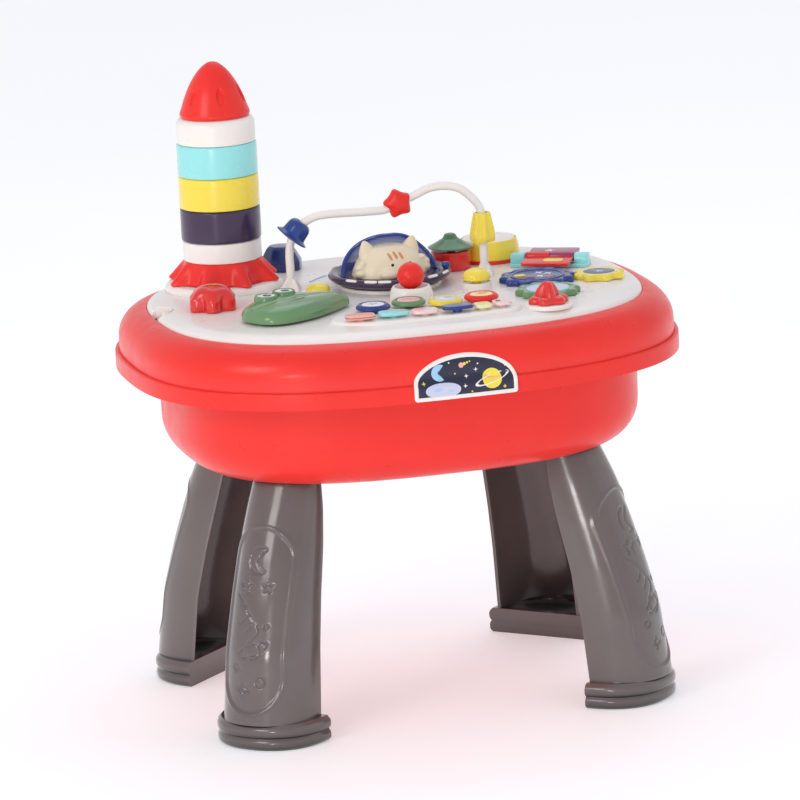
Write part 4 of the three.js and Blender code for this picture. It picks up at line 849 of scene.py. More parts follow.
def cup_body(radius, shoulder, height):
    """A stacking cup: open below, with a stepped spigot on top and rounded edges."""
    top, rim_z = height + SPIGOT_HEIGHT, height - GAP
    inner, bore = radius - ROCKET_WALL, SPIGOT_RADIUS - ROCKET_WALL
    bend = [(radius - shoulder * (1 - math.cos(a)), rim_z - shoulder * (1 - math.sin(a)), 0)
            for a in quarter(8)]
    return turned([(0, top - ROCKET_WALL), (bore, top - ROCKET_WALL, 1), (bore, rim_z - ROCKET_WALL, 1),
                   (inner, rim_z - ROCKET_WALL, 2), (inner, 0, 0.4), (radius - 0.2, 0, 0.6), (radius, 2, 0.6),
                   *bend, (SPIGOT_RADIUS, rim_z, 0.4), (SPIGOT_RADIUS, top, 1.2), (0, top)], 1, 8, 112)


def rocket():
    """Five stacking cups between a pleated tail and a dimpled nose."""
    for name, paint in (("white_low", WHITE), ("navy", NAVY), ("yellow", YELLOW), ("cyan", CYAN),
                        ("white_top", WHITE)):
        node = "rocket_cup_" + name
        shoulder = 6.5 if name == "white_top" else 2.2
        body = cup_body(half_length(node), shoulder, height_of(node) - SPIGOT_HEIGHT)
        piece("cup_" + name, [body], paint, node, node, at=middle("rocket_nose", low(node).z))
    rocket_tail()
    rocket_nose()


def rocket_tail():
    """A pleated skirt that flares out to pointed folds."""
    z, reach = low("rocket_tail").z, half_length("rocket_tail")
    rings = [level(lobed(reach * share - depth, 8, depth, 24, 0.2, 2.2), z + 20 * up)
             for up, share, depth in (
                 (0, 0.985, 6.2), (0.05, 1, 6.3), (0.12, 0.99, 6.2), (0.3, 0.92, 5.4), (0.5, 0.85, 4.2),
                 (0.7, 0.78, 2.7), (0.88, 0.71, 1.2), (0.97, 0.667, 0.3), (1.0, 0.65, 0))]
    rings += [level(circle(radius, 192), z + up) for radius, up in (
        (SPIGOT_RADIUS, 20), (SPIGOT_RADIUS, 25.4), (SPIGOT_RADIUS - 0.6, 26), (26, 26), (26, 20), (33, 3),
        (42, 0.4))]
    piece("tail_skirt", [loft(rings, True)], RED, "panel", "rocket_tail", at=middle("rocket_nose"))


def rocket_nose():
    """An ogive with a ring of long oval dimples, hollow below."""
    height = height_of("rocket_nose")
    rings = []
    for share, rise in curve([(0.965, 0), (1, 0.05), (0.94, 0.17), (0.83, 0.37), (0.675, 0.59), (0.45, 0.81),
                              (0.28, 0.92), (0.12, 0.985), (0, 1)], 9):
        r, up = NOSE_RADIUS * max(1e-4, share), height * rise
        ring = []
        for i in range(NOSE_STEPS):
            across = (i / NOSE_STEPS * DIMPLES - NOSE_TURN / 60 + 0.5) % 1 - 0.5
            across *= TURN / DIMPLES * NOSE_RADIUS * 0.8
            reach = math.hypot(across / 4.3, (up - height * 0.42) / 9)
            sink = 2.5 * smooth(clamp((1 - reach) / 0.45))
            ring.append((*polar(r - sink, TURN * i / NOSE_STEPS), up - sink * 0.3))
        rings.append(ring)
    inner = ((1e-4, height - 5), (0.35 * NOSE_RADIUS, height * 0.8), (0.6 * NOSE_RADIUS, height * 0.56),
             (NOSE_RADIUS - 3.6, height * 0.22), (NOSE_RADIUS - ROCKET_WALL, 0))
    rings += [level(circle(r, NOSE_STEPS), z) for r, z in inner]
    piece("nose_cone", [loft(rings, True)], RED, "rocket_nose", "rocket_nose", at=seat("rocket_nose"))


# Bead rail
LEFT_POST = Vector((-0.347 * HALF_LENGTH, 0.156 * HALF_DEPTH, 0))
RIGHT_POST = Vector((0.3545 * HALF_LENGTH, 0.038 * HALF_DEPTH, 0))
RAIL_SPAN = (RIGHT_POST - LEFT_POST).length
RAIL_TURN = math.atan2(RIGHT_POST.y - LEFT_POST.y, RIGHT_POST.x - LEFT_POST.x)
RAIL_HEIGHT = 92.0
RAIL_RADIUS = 3.8
RAIL_BEND = 34.0
BEND_Z = RAIL_HEIGHT * 0.735 - RAIL_BEND
RAIL_SHARES = ((0.36, 0.736), (0.43, 0.735), (0.5, 0.742), (0.578, 0.803), (0.657, 0.864), (0.735, 0.925),
               (0.812, 0.937), (0.888, 0.9), (0.945, 0.81), (0.985, 0.71), (1, 0.6), (1, 0.3))
SLOPE_SHARES = ((0.5, 0.742), (0.735, 0.925))
STAR_SHARE = 0.57
FLUTED_Z = 33.0


def on_rail(body, offset=(0, 0, 0), tilt=None):
    """A body moved in the rail's plane, from the left post's foot, and then to its place on the deck."""
    return shifted(shifted(body, offset, 0, tilt), (LEFT_POST.x, LEFT_POST.y, DECK_Z), RAIL_TURN)


def rail():
    points = [(0, -4), (0, BEND_Z / 3), (0, BEND_Z * 2 / 3), *arc((RAIL_BEND, BEND_Z), RAIL_BEND, 180, 90, 5)]
    points += [(s * RAIL_SPAN, z * RAIL_HEIGHT) for s, z in RAIL_SHARES] + [(RAIL_SPAN, -4)]
    path = [(x, 0, z) for x, z in curve(points, 9)]
    piece("rail", [on_rail(tube(path, RAIL_RADIUS, 24, Vector((0, 1, 0))))], WHITE, "panel", "bead_rail")


def beads():
    """A planet on the rail's bend, a puffed star on its slope and a fluted bead over the right post."""
    lean = math.radians(40)
    spot = (RAIL_BEND - RAIL_BEND * math.cos(lean), 0, BEND_Z + RAIL_BEND * math.sin(lean))
    planet = turned([(5.6, -9.8, 0.5), (12.6, -9.8, 1.6), (15.9, -8.7, 0.7), (15.9, -7.7, 0.7),
                     (11.6, -5.6, 2), (11, 1.6, 2), (10.6, 4.4, 2), (8.6, 7.6, 2), (5.6, 8.7, 1)], 1, 6, 72)
    piece("planet_bead", [on_rail(planet, spot, about("Y", 40))], BLUE, "bead_blue", "bead_blue")
    (from_s, from_z), (to_s, to_z) = SLOPE_SHARES
    slope = math.degrees(math.atan2((to_z - from_z) * RAIL_HEIGHT, (to_s - from_s) * RAIL_SPAN))
    rise = (STAR_SHARE - from_s) / (to_s - from_s) * (to_z - from_z) + from_z
    spot = (STAR_SHARE * RAIL_SPAN, 0, rise * RAIL_HEIGHT)
    tips = [(x, y, 2.4 if i % 2 else 3.6) for i, (x, y) in enumerate(star(5, 14.9, 10.6, math.radians(105)))]
    outline = eased(tips, 3, 6, True)
    puffed = loft([[(x * math.cos(a) ** 0.8, y * math.cos(a) ** 0.8, 8.5 * math.sin(a)) for x, y in outline]
                   for a in (math.pi * (k / 24 - 0.5) for k in range(1, 24))])
    obj = piece("star_bead", [on_rail(puffed, spot, about("X", 90))], RED, "bead_red", "bead_red")
    carve(obj, on_rail(pad(circle(4.7, 32), -30, 30, 0.1), spot, about("Y", 90 - slope)))
    rings = [level(lobed(12 * share, 7, depth * 0.8, 16, 0.3), FLUTED_Z + 26.5 * up)
             for up, share, depth in (
                 (0, 0.86, 0.4), (0.03, 0.9, 0.8), (0.1, 0.94, 1.0), (0.2, 0.93, 1.2), (0.34, 0.885, 1.3),
                 (0.5, 0.81, 1.3), (0.67, 0.74, 1.2), (0.83, 0.68, 1.0), (0.93, 0.63, 0.9),
                 (0.985, 0.59, 0.7), (1, 0.56, 0.5))]
    rings += [level(circle(5.7, 112), FLUTED_Z + z) for z in (26.4, 0.2)]
    fluted = on_rail(loft(rings, True), (RAIL_SPAN, 0, 0))
    piece("fluted_bead", [fluted], YELLOW, "bead_yellow", "bead_yellow")


# Saucer with its hood and cat
HOOD_RADIUS = 44.5
HOOD_HEIGHT = 36.0
HOOD_WALL = 1.8


def saucer():
    """A dish with a knob and dashes on its rim, and a kitten under a clear hood."""
    spot, z = middle("saucer_dish"), low("saucer_dish").z
    dish = turned([(0, 0), (43, 0, 1), (53, 3.2, 4), (56, 6, 2.5), (56, 8.6, 2.4), (53, 11, 2.2),
                   (47.5, 9.4, 1), (44.8, 6.9, 0.6), (0, 6.9)], 2, 6, 112, z)
    piece("dish", [dish], NAVY, "saucer", "saucer_dish", at=spot)
    knob = turned([(0, -3.4), (2.6, -3.4), (2.4, -2, 0.5), (4.2, 0.4, 2), (3.4, 3.4, 1.6), (0, 4)], 1, 6, 32)
    piece("dish_knob", [knob], BLUE, "saucer", at=spot + Vector((*polar(52, math.radians(-25)), z + 13)))
    dash = pad(squircle(6, 1.25, 0.5, 32), -0.6, 0.28, 0.15)
    tilt = about("Y", 58) @ about("Z", 90)
    turns = [math.radians(degrees) for degrees in (-144.5, -123.5, -110, -60, -38, 35, 56, 70, 120, 142)]
    dashes = [shifted(dash, spot + Vector((*polar(54.9, turn), z + 9.9)), turn, tilt) for turn in turns]
    piece("dish_dashes", dashes, WHITE, "saucer")
    hood(middle("saucer_dish", low("saucer_hood").z))
    cat(middle("saucer_dish", low("saucer_cat").z))


def hood(spot):
    """A clear dome, open to the front, with a thick rim round its opening."""
    angles = quarter(28)
    shell = lathe(bow(HOOD_RADIUS, HOOD_HEIGHT, angles)
                  + bow(HOOD_RADIUS - HOOD_WALL, HOOD_HEIGHT - HOOD_WALL, reversed(angles)), 128, True)
    obj = piece("hood_shell", [shell], CLEAR_BLUE, "saucer", "saucer_hood", at=spot)
    edge = curve([(0.7, 0), (6, 9), (10.5, 16), (12.5, 22), (10.5, 28), (5, 33), (-1, 36.5)], 8)
    outline = [(-60, -5), (0.2, -5), *edge, (-1, 50), (-60, 50)]
    carve(obj, shifted(loft([level(outline, -60), level(outline, 60)]), spot, 0, SIDEWAYS))
    across, up = HOOD_RADIUS - HOOD_WALL / 2 - 0.3, HOOD_HEIGHT - HOOD_WALL / 2 - 0.3
    half = []
    for y, z in edge:
        left = 1 - (y / across) ** 2 - (z / up) ** 2
        if left > 0:
            half.append((across * math.sqrt(left), y, z))
    line = half + [(-x, y, z) for x, y, z in reversed(half)]
    piece("hood_band", [tube(line, 1.7, 20)], CLEAR_EDGE, "saucer", at=spot)


def cat(spot):
    """A plump kitten: head and body in one, pointed ears, tufted cheeks and small paws."""
    rings = []
    for k in range(1, 28):
        a = math.pi * (k / 28 - 0.5)
        up = 27 * power(math.sin(a), 0.8)
        share = power(math.cos(a), 0.72) * (1 - 0.2 * max(0, up) / 27)
        rings.append([(x * share, y * share + 1, up) for x, y in squircle(34.5, 27.5, 0.9, 72)])
    lumps = [loft(rings)]
    ear = turned([(0, -8), (9.6, -6, 2), (8.6, 2, 3), (4.6, 9, 3), (1.7, 12.6, 1.5), (0, 13)], 2, 5, 32)
    for side in (-1, 1):
        tilt = about("Y", side * 15) @ Matrix.Diagonal((1, 0.62, 1, 1))
        lumps.append(shifted(ear, (side * 20.5, 0, 20), 0, tilt))
        for reach, up, size in ((29, 4, 7.6), (31, 9, 5.2), (28, 13, 4.6)):
            lumps.append(ball(size, size * 0.9, size * 0.66, (side * reach, -8, up)))
        lumps.append(ball(8.4, 6.6, 5.4, (side * 10, -24, 3)))
    obj = piece("kitten", lumps, CREAM, "saucer", "saucer_cat", at=spot, turn=math.radians(6))
    fuse(obj, 0.9, 6)
    carve(obj, box_body((400, 400, 60), spot - Vector((0, 0, 30))))
    tree = BVHTree.FromObject(obj, bpy.context.evaluated_depsgraph_get())

    def face_point(x, up, lift):
        """The kitten's surface at a place in its front view."""
        origin = (spot + Vector((x, -60, up))) * MM
        hit = tree.ray_cast(origin, Vector((0, 1, 0)))
        point, normal = (hit[0] / MM, hit[1]) if hit[0] else (origin / MM, Vector((0, -1, 0)))
        return tuple(point + normal * lift)

    def mark(name, outline, x, up, paint, rise, shares):
        placed = [(x + px, up + pz) for px, pz in outline]
        piece("kitten_" + name, [sunk(placed, face_point, 0.4, rise, shares)], paint, "saucer")

    slanted = [(x - 0.4 * z, z) for x, z in squircle(1.5, 3.2, 0.8, 28)]
    for i, (x, up) in enumerate(((-4, 18.4), (1.2, 19.3), (6.6, 18.4))):
        mark(f"stripe_{i + 1}", slanted, x, up, TAN, 0.25, (1, 0.5))
    for i, x in enumerate((-3, 14)):
        mark(f"eye_{i + 1}", circle(1.5, 20), x, 11.5, DARK, 0.5, (1, 0.6, 0.2))
    mark("nose", squircle(1.4, 1, 0.9, 20), 5.6, 8, SALMON, 0.4, (1, 0.5))


# Joystick and press pieces
BALL_RADIUS = 12.25
KEY_HALF_WIDTH = 13.6
KEY_HALF_DEPTH = 8.5
KEYS = (("salmon", SALMON, -0.08, 1), ("cyan", CYAN, -0.06, 1), ("pink", BLUSH, -0.02, 0.86),
        ("blue", BLUE, 0, 1.05), ("yellow", LEMON, 0.04, 0.58), ("red", BLUSH, 0.12, 0.58))


def joystick():
    node = "joystick_ball"
    foot, centre = low(node).z + 1.4, high(node).z - BALL_RADIUS
    shaft = turned([(0, foot), (3, foot), (3, centre - 9, 2), (5.4, centre - 10.6), (0, centre - 9)],
                   0.5, 4, 32)
    body = ball(BALL_RADIUS, BALL_RADIUS, BALL_RADIUS, (0, 0, centre), 64, 40)
    piece("stick_ball", [body, shaft], RED, node, node, at=middle("joystick_ring"))


def cap_stem(node, top):
    """The stem under a press piece, down through the deck."""
    z = low(node).z
    return turned([(0, z), (4, z, 0.6), (4, top + 0.5), (0, top + 0.5)], 0.4, 3, 24)


def ring_buttons():
    looks = (("blue", BLUE, WHITE, star(5, 6, 2.7), LILAC), ("green", GREEN, BLUSH, circle(3.4, 32), SALMON),
             ("yellow", YELLOW, LILAC, crescent(5.6), WHITE),
             ("red", RED, LEMON, lobed(4.2, 5, 1.1, 12), SALMON))
    for colour, paint, plate, shape, ink in looks:
        node, name = "ring_button_" + colour, "ring_" + colour
        top, spot = high(node).z, middle(node)
        cap = turned([(0, -4.6), (14.7, -4.6, 0.8), (15.5, -3.7, 0.6), (15.3, -2.2, 1), (13.2, 0, 1.4),
                      (11.2, 0, 0.7), (10.6, -0.8, 0.3), (0, -0.8)], 0.8, 5, 72, top)
        piece(name, [cap, cap_stem(node, top - 4.6)], paint, node, node, at=spot)
        disc = turned([(0, -1), (10.3, -1), (10.2, -0.25, 0.4), (0, -0.1)], 0.4, 4, 56, top)
        piece(name + "_plate", [disc], plate, node, at=spot)
        mark = pad(shape, top - 0.4, top, 0.15, 2)
        piece(name + "_print", [mark], ink, node, at=spot, turn=0.2)


def keys():
    """Six keys: the first has a sunk face, and the last a dot."""
    for colour, paint, turn, share in KEYS:
        node = "key_" + colour
        top, spot = high(node).z, middle(node)
        outline = squircle(KEY_HALF_WIDTH * share - 0.1, KEY_HALF_DEPTH - 0.1, 0.62, 56)
        bodies = [pad(outline, top - 3, top, 1.9 if colour == "blue" else 1.2, 6, 0.5)]
        if colour == "salmon":
            bodies = [pad(outline, top - 3, top - 0.7, 0.5, 3, 0.5), ridge_ring(outline, top - 1.2, top, 1.7)]
        bodies = [shifted(body, spot, turn) for body in bodies] + [shifted(cap_stem(node, top - 3), spot)]
        piece("piano_" + node, bodies, paint, node, node)
    spot = middle("key_red", high("key_red").z) + Vector((-3.2, 0.6, 0))
    piece("piano_key_dot", [pad(circle(2.8, 32), -0.5, 0.0, 0.25, 3)], RED, "key_red", at=spot)


def domes():
    looks = (("dome_light", 12.6, 10.0, "lamp_dome"), ("small_dome", 11.2, 8.0, "low_dome"))
    for node, radius, height, name in looks:
        z = high(node).z - height
        line = [(0, 0), (radius, 0, 0.5), (radius, height * 0.22, 1)]
        line += [(radius * math.cos(a), height * (0.25 + 0.75 * math.sin(a)), 0) for a in quarter(14)[1:]]
        piece(name, [turned(line, 0.5, 4, 64, z), cap_stem(node, z)], YELLOW, node, node, at=middle(node))


FROG_SHARES = ((-0.5, 0), (-0.46, -0.34), (-0.34, -0.48), (-0.1, -0.5), (0.16, -0.4), (0.36, -0.26),
               (0.48, -0.16), (0.5, 0.02), (0.42, 0.2), (0.2, 0.38), (0, 0.48), (-0.2, 0.5), (-0.4, 0.36),
               (-0.48, 0.2))
FROG_LEVELS = ((1.0, 0), (1.003, 0.08), (1.0, 0.3), (0.975, 0.45), (0.935, 0.6), (0.87, 0.73), (0.78, 0.84),
               (0.66, 0.92), (0.52, 0.975), (0.34, 1.0), (0.16, 1.0), (0.04, 1.0))
FROG_LENGTH = 109.0
FROG_WIDTH = 63.0
FROG_HEIGHT = 15.5
FROG_TURN = math.radians(25)
EYE_SHARES = ((-0.22, 0.21), (0, 0.28))


def frog():
    """A flat frog with a crease down its back and two eyes in raised sockets."""
    node = "frog"
    z = high(node).z - FROG_HEIGHT - 3
    spot = Vector((-0.438 * HALF_LENGTH, -0.355 * HALF_DEPTH, z))
    outline = [(x * FROG_LENGTH, y * FROG_WIDTH) for x, y in curve(FROG_SHARES, 9, True)]
    rings = []
    for size, up in FROG_LEVELS:
        ring = []
        for x, y in ((px * size, py * size) for px, py in outline):
            crease = math.exp(-((y + 0.06 * (x + 20) + 1.5) / 2.2) ** 2) * clamp((up - 0.5) * 2.4)
            slope = 1 - 0.20 * max(0, x / FROG_LENGTH) - 0.04 * abs(x / FROG_LENGTH)
            ring.append((x, y, up * FROG_HEIGHT * slope - 1.5 * crease))
        rings.append(ring)
    sole = 6 - FROG_HEIGHT
    socket = turned([(0, sole), (10.6, sole), (10.8, -2, 2), (10.2, 2.4, 1.2), (8.8, 2.9, 0.6),
                     (8.4, 1.6, 0.4), (0, 1.6)], 0.8, 5, 48, FROG_HEIGHT)
    eyes = [Vector((along * FROG_LENGTH, across * FROG_WIDTH, 0)) for along, across in EYE_SHARES]
    parts = [loft(rings), *(shifted(socket, eye) for eye in eyes)]
    parts = [shifted(body, spot, FROG_TURN) for body in parts]
    parts.append(shifted(cap_stem(node, z + 1), (spot.x, spot.y, 0)))
    piece("frog_body", parts, GREEN, node, node)
    white = turned([(0, 1), (8.2, 1), (8.1, 2.3, 0.6), (0, 2.75)], 0.5, 4, 48, FROG_HEIGHT)
    pupil = turned([(0, 1.6), (4, 1.6), (3.9, 2.8, 0.3), (0, 2.95)], 0.3, 3, 32, FROG_HEIGHT)
    for i, eye in enumerate(eyes):
        centre = Matrix.Rotation(FROG_TURN, 4, "Z") @ eye + spot
        piece(f"frog_eye_{i + 1}", [white], WHITE, node, at=centre)
        piece(f"frog_pupil_{i + 1}", [pupil], INK, node, at=centre + Vector((0.8, -1.4, 0)))


# Knobs and gears
def knobs():
    """A lobed knob, a folded star knob on a flower, and a faceted dial."""
    node = "lobed_knob"
    reach, height = half_length(node) - 0.1, height_of(node)
    rings = [level(lobed(reach * share - depth, 6, depth, 20, 0.3, sharp), height * up)
             for up, share, depth, sharp in (
                 (0, 0.97, 3.0, 0.7), (0.03, 1, 3.2, 0.7), (0.2, 1, 3.2, 0.7), (0.42, 0.99, 3.1, 0.7),
                 (0.5, 0.965, 2.8, 0.8), (0.56, 0.905, 2.1, 0.9), (0.66, 0.83, 1.4, 1), (0.78, 0.72, 0.5, 1),
                 (0.87, 0.6, 0.3, 1), (0.94, 0.44, 0.1, 1), (0.985, 0.23, 0, 1), (1, 0.05, 0, 1))]
    piece("knob_lobed", [loft(rings)], DEEP_RED, node, node, at=seat(node))
    node = "star_knob"
    base = [level(lobed(radius, 6, depth, 18, 0.0, 0.8), z) for z, radius, depth in (
        (0, 16.4, 1.7), (0.5, 16.7, 1.7), (2.6, 16.6, 1.7), (4.2, 15.8, 1.7), (5.6, 14, 1.4), (6.4, 11.6, 1),
        (6.5, 9, 0.4))]
    height = height_of(node)
    peak = [level(lobed(radius, 3, depth, 36, 0.5, 1.2), height * share) for share, radius, depth in (
        (0.2, 10.6, 3.6), (0.34, 9.8, 3.2), (0.5, 8.6, 2.8), (0.66, 7.2, 2.4), (0.8, 5.8, 1.7), (0.9, 4.4, 1),
        (0.97, 2.9, 0.5), (1, 1, 0.1))]
    piece("knob_star", [loft(base), loft(peak)], DEEP_RED, node, node, at=seat(node))
    node = "facet_dial"
    profile = eased([(19.4, 0, 0.6), (20, 0.9, 0.5), (20, 8, 0.7), (13, 20, 0.7), (10.4, 22, 0.7), (0.5, 22)],
                    0.8, 3)
    facets = [level(eased(circle(radius, 8), min(0.7, radius * 0.2), 3, True), z) for radius, z in profile]
    piece("dial_faceted", [loft(facets)], DEEP_BLUE, node, node, at=seat(node))


LOBE_PITCH = 2.75
LOBE_STEPS = 14
GREEN_TURN = math.radians(-98)
YELLOW_TURN = math.radians(-13)


def gears():
    """Three meshing wheels with round lobes, and prints on their sunk faces."""
    for colour, lobes, paint, angle in (("blue", 12, BLUE, None), ("green", 10, GREEN, GREEN_TURN),
                                        ("yellow", 8, YELLOW, YELLOW_TURN)):
        node = "gear_" + colour
        z, radius = low(node).z, LOBE_PITCH * lobes
        phase = GREEN_TURN
        if angle is not None:
            phase = angle + math.pi - (math.pi - 12 * (angle - GREEN_TURN)) / lobes
        rings = [level(lobed(radius - inset, lobes, depth, LOBE_STEPS, phase), z + up)
                 for inset, up, depth in (
                     (0.5, 0, 2.1), (0.05, 0.4, 2.2), (0.05, 2.6, 2.2), (0.35, 3.8, 2.2), (1.0, 4.7, 2.1),
                     (2.0, 5.4, 1.9), (3.4, 5.7, 1.5), (4.6, 5.55, 1.0), (5.4, 5.2, 0.6), (5.9, 4.9, 0.2))]
        rings += [level(circle(r, lobes * LOBE_STEPS), z + up)
                  for r, up in ((radius - 7.5, 4.9), (radius - 7.9, 4.7), (1.0, 4.7))]
        piece("wheel_" + colour, [loft(rings)], paint, node, node, at=middle(node))
        gear_face(node, colour, radius, z + 4.7, high(node).z)


def gear_face(node, colour, radius, face, top):
    """Printed plates and rings on a gear's sunk face."""
    def add(name, bodies, paint, turn=0.0):
        piece(f"wheel_{colour}_{name}", bodies, paint, node, at=middle(node), turn=turn)

    if colour == "blue":
        add("ring", [ridge_ring(circle(radius - 8.6, 96), face - 0.3, top - 0.1, 2.2)], BLUE)
        mark = pad(squircle(5.2, 3.4, 0.4, 32), face - 0.3, top - 0.1, 0.4)
        add("mark", [shifted(mark, (-15.5, 4, 0))], YELLOW)
        spark = pad(star(4, 4.6, 1.6), face - 0.2, face + 0.5, 0.15)
        add("stars", [shifted(spark, (x, y, 0), 0.3) for x, y in ((1, -6), (11, 3), (4, 9))], WHITE)
    elif colour == "green":
        add("plate", [pad(circle(radius - 8.4, 64), face - 0.3, face + 0.5, 0.3)], LILAC)
        add("ring", [ridge_ring(circle(radius - 8.0, 72), face - 0.3, top - 0.15, 1.6)], CYAN)
        add("moon", [pad(crescent(6.4), face, face + 0.75, 0.15)], WHITE, 0.6)
    else:
        add("ring", [ridge_ring(circle(radius - 5.8, 72), face - 0.3, top - 0.1, 1.7)], WHITE)
        add("plate", [pad(circle(radius - 7.6, 64), face - 0.3, face + 0.5, 0.3)], INK)
        add("star", [pad(star(5, 5.6, 2.4), face, face + 0.75, 0.15)], PRINT_BLUE)


# Drums and book
def drums():
    """A drum with its skin, and a cymbal over a drum of its own."""
    base = turned([(0, 0), (28.6, 0, 0.5), (28.6, 3, 0.8), (27.4, 3.4), (0, 3.4)], 0.6, 4, 88)
    side = turned([(4.6, 3), (28.2, 3), (28.3, 5), (27.6, 13, 5), (26.2, 19.6, 1.4), (25.0, 20.5, 0.5),
                   (24.8, 20, 0.3), (24.8, 12), (4.6, 12)], 1, 5, 88)
    piece("drum_base", [base], DEEP_RED, "panel", at=seat("drum_body"))
    piece("drum_side", [side], YELLOW, "panel", "drum_body", at=seat("drum_body"))
    node = "drum_skin"
    top = high(node).z
    skin = turned([(0, -3.6), (24.4, -3.6, 0.4), (24.4, -1.2, 0.7), (23.2, -0.5, 0.6), (22.2, -0.9, 0.4),
                   (14, -0.1, 3), (0, 0)], 0.6, 5, 88, top)
    piece("drum_head", [skin, cap_stem(node, top - 3.6)], WHITE, node, node, at=middle(node))
    drum = turned([(4.6, 0), (18, 0, 0.4), (18, 17, 1), (4.6, 17, 0.4)], 0.5, 4, 72)
    piece("cymbal_base", [drum], DEEP_RED, "panel", "cymbal_drum", at=seat("cymbal_drum"))
    node = "cymbal"
    z = high(node).z - 13.6
    plate = turned([(0, 0), (20.4, 0, 0.4), (20.8, 0.5, 0.3), (20.4, 1.1, 0.4), (14, 4.4, 3), (9.1, 7.4, 2),
                    (7, 8.5, 1), (4.9, 12.6, 1.6), (0, 13.5)], 1, 6, 88, z)
    piece("cymbal_plate", [plate, cap_stem(node, z)], LEAF, node, node, at=middle(node))


BOOK_TURN = math.radians(-28)
BOOK_LENGTH = 72.0
BOOK_PIN_Z = 7.82
LEAF_LENGTH = BOOK_LENGTH - 26 - 4 * GAP


def book():
    """A sole with two blocks that hold a pin, and two printed leaves that turn on the pin."""
    spot = Vector((0.628 * HALF_LENGTH, 0.13 * HALF_DEPTH, low("book_base").z))
    block = pad(eased([(-7.5, 0, 0.5), (7.5, 0, 0.5), (7.5, 8, 3), (4.6, 11.5, 2.4), (-4.6, 11.5, 2.4),
                       (-7.5, 8, 3)], 1, 5, True), -6.4, 6.4, 1.0, 4, 1.0)
    parts = [pad(squircle(BOOK_LENGTH / 2, 13, 0.25, 64), 0, 3, 0.8, 4)]
    parts += [shifted(block, (side * 29.5, 0, 0), 0, SIDEWAYS) for side in (-1, 1)]
    parts.append(shifted(pad(circle(2.4, 24), -30, 30, 0.1), (0, 0, BOOK_PIN_Z), 0, about("Y", 90)))
    piece("book_frame", parts, CYAN, "panel", "book_base", at=spot, turn=BOOK_TURN)
    stud = turned([(0, -1), (3.4, -1), (3.2, 0.55, 0.5), (0, 0.9)], 0.4, 4, 32)
    studs = [shifted(stud, (side * 35.1, 0, BOOK_PIN_Z), 0, about("Y", side * 90)) for side in (-1, 1)]
    piece("book_studs", studs, GREEN, "panel", at=spot, turn=BOOK_TURN)
    pin = spot + Vector((0, 0, BOOK_PIN_Z))
    edge = LEAF_LENGTH / 2
    outline = eased([(-edge, 0, 1), (edge, 0, 1), (edge, 24.8, 3), (-edge, 24.8, 3)], 1, 5, True)
    sheet, faces = pad(outline, -1.6, 1.6, 0.8, 4, 0.8)
    window = squircle(9, 5, 0.5, 32)
    for node, name, paint, lift, side, start, end, shape, x, ink in (
            ("book_cover", "book_front_leaf", DEEP_RED, 4, -1, -edge, -GAP / 2, window, 6, YELLOW),
            ("book_page", "book_back_leaf", MAGENTA, 2, 1, GAP / 2, edge, star(5, 6, 2.7), -4, BLUSH)):
        leaf = ([(px, side * (py + 4.7), pz) for px, py, pz in sheet], faces)
        ring = turned([(2.75, start), (4.35, start, 0.4), (4.35, end, 0.4), (2.75, end)], 0.2, 3, 40)
        knuckle = shifted(ring, (0, 0, 0), 0, about("Y", 90))
        bridge = box_body((end - start - 1, 5, 2.6), ((start + end) / 2, side * 4.2, 0))
        tilt = about("X", lift)
        piece(name, [leaf, knuckle, bridge], paint, node, node, at=pin, turn=BOOK_TURN, tilt=tilt)
        mark = shifted(pad(shape, 1.3, 1.85, 0.2), (x, side * 17, 0))
        piece(name + "_print", [mark], ink, node, None, pin, BOOK_TURN, tilt)


# Inner pieces keep their CAD shape
def inner_pieces():
    looks = ((WHITE, ("battery_box", "battery_door")), (FIBRE, ("circuit_board",)),
             (DARK, ("speaker", "joystick_ring")),
             (STEEL, ("battery_1", "battery_2", "tub_screw_1", "tub_screw_2", "tub_screw_3", "tub_screw_4")))
    for paint, nodes in looks:
        for node in nodes:
            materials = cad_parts[node].data.materials
            materials.clear()
            materials.append(paint)


# Floor, light and camera
FLOOR_HALF = 30.0
FLOOR_GLOW = 0.36
SKY_STRENGTH = 0.83
LAMP_AIM = Vector((0, 0, 0.3))
LAMPS = (("key_light", (-2.2, -1.5, 1.7), 1.1, 17, (1.0, 0.96, 0.92)),
         ("fill_light", (2.1, -0.8, 1.1), 1.6, 1.5, (0.82, 0.85, 1.0)),
         ("back_light", (0.4, 1.2, 2.4), 1.6, 8, (0.84, 0.87, 1.0)),
         ("strip_light", (-1.5, -2.4, 0.5), 0.4, 7, (1.0, 0.98, 0.96)))
IMAGE_SIZE = 800
FOCAL_LENGTH = 6297.13
SENSOR_WIDTH = 36
CAMERA_PLACE = Vector((-1.43299, -5.39341, 1.50057))
CAMERA_RIGHT = Vector((0.96240429, -0.26712247, -0.04922978))
CAMERA_UP = Vector((0.10412096, 0.19541083, 0.97517867))
CAMERA_BACK = Vector((-0.2508721, -0.94364198, 0.21587727))


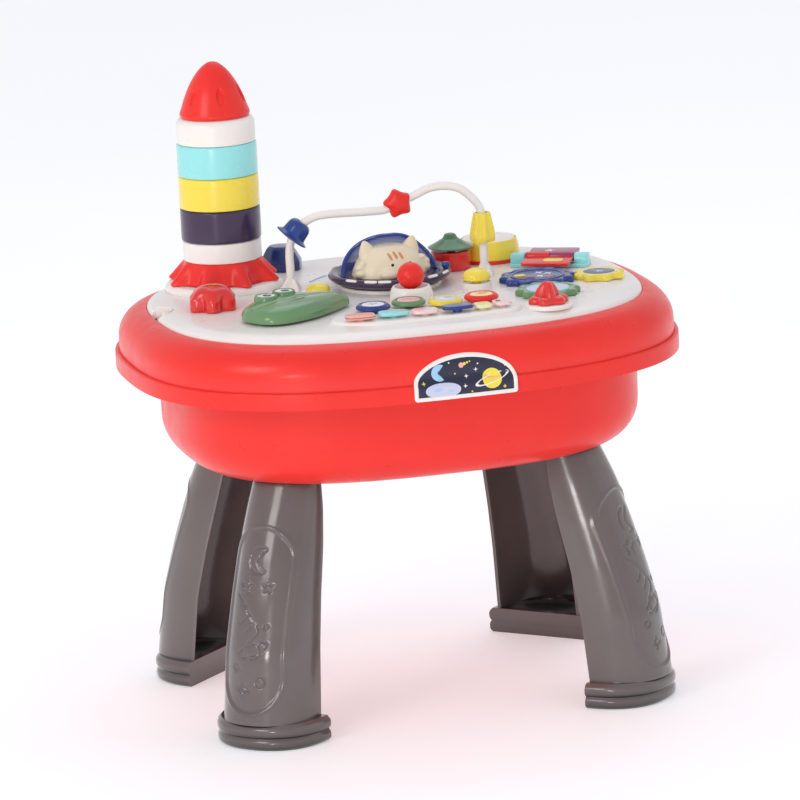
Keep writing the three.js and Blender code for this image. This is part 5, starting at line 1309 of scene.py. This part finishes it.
def studio():
    """A pale floor, a sky that cools upwards, and four soft lamps."""
    corners = [(-FLOOR_HALF, -FLOOR_HALF), (FLOOR_HALF, -FLOOR_HALF), (FLOOR_HALF, FLOOR_HALF),
               (-FLOOR_HALF, FLOOR_HALF)]
    floor_mesh = bpy.data.meshes.new("floor")
    floor_mesh.from_pydata(level(corners, 0), [], [(0, 1, 2, 3)])
    floor = linked(bpy.data.objects.new("floor", floor_mesh))
    material, tree, shader = shader_of("floor")
    fill(shader, {"Base Color": ramp(tree, noise(tree, 1.2, 2), (0.3, 0.80), (0.7, 0.83)), "Roughness": 0.7,
                  "Emission Color": (1, 1, 1), "Emission Strength": FLOOR_GLOW})
    floor.data.materials.append(material)
    world = bpy.data.worlds.new("studio")
    bpy.context.scene.world = world
    world.use_nodes = True
    tree = world.node_tree
    height = made(tree, "SeparateXYZ", "Z", {0: made(tree, "TexCoord", "Generated")})
    sky = ramp(tree, height, (0.05, (1, 0.985, 0.965)), (0.8, (0.74, 0.76, 0.85)))
    fill(tree.nodes["Background"], {"Color": sky, "Strength": SKY_STRENGTH})
    for name, place, size, energy, colour in LAMPS:
        data = bpy.data.lights.new(name, "AREA")
        data.size = size
        data.energy = energy
        data.color = colour
        light = linked(bpy.data.objects.new(name, data))
        light.location = place
        light.rotation_mode = "QUATERNION"
        light.rotation_quaternion = (LAMP_AIM - Vector(place)).to_track_quat("-Z", "Y")
    bpy.context.scene.view_settings.view_transform = "Standard"


def camera():
    data = bpy.data.cameras.new("camera")
    data.sensor_width = SENSOR_WIDTH
    data.lens = SENSOR_WIDTH * FOCAL_LENGTH / IMAGE_SIZE
    data.clip_end = 200
    obj = linked(bpy.data.objects.new("camera", data))
    matrix = Matrix((CAMERA_RIGHT, CAMERA_UP, CAMERA_BACK)).transposed().to_4x4()
    matrix.translation = CAMERA_PLACE
    obj.matrix_world = matrix
    bpy.context.scene.camera = obj


for build in (rim, tub, legs, front_plate, deck, console, deck_fittings, rocket, rail, beads, saucer,
              joystick, ring_buttons, keys, domes, frog, knobs, gears, drums, book, inner_pieces, studio,
              camera):
    build()
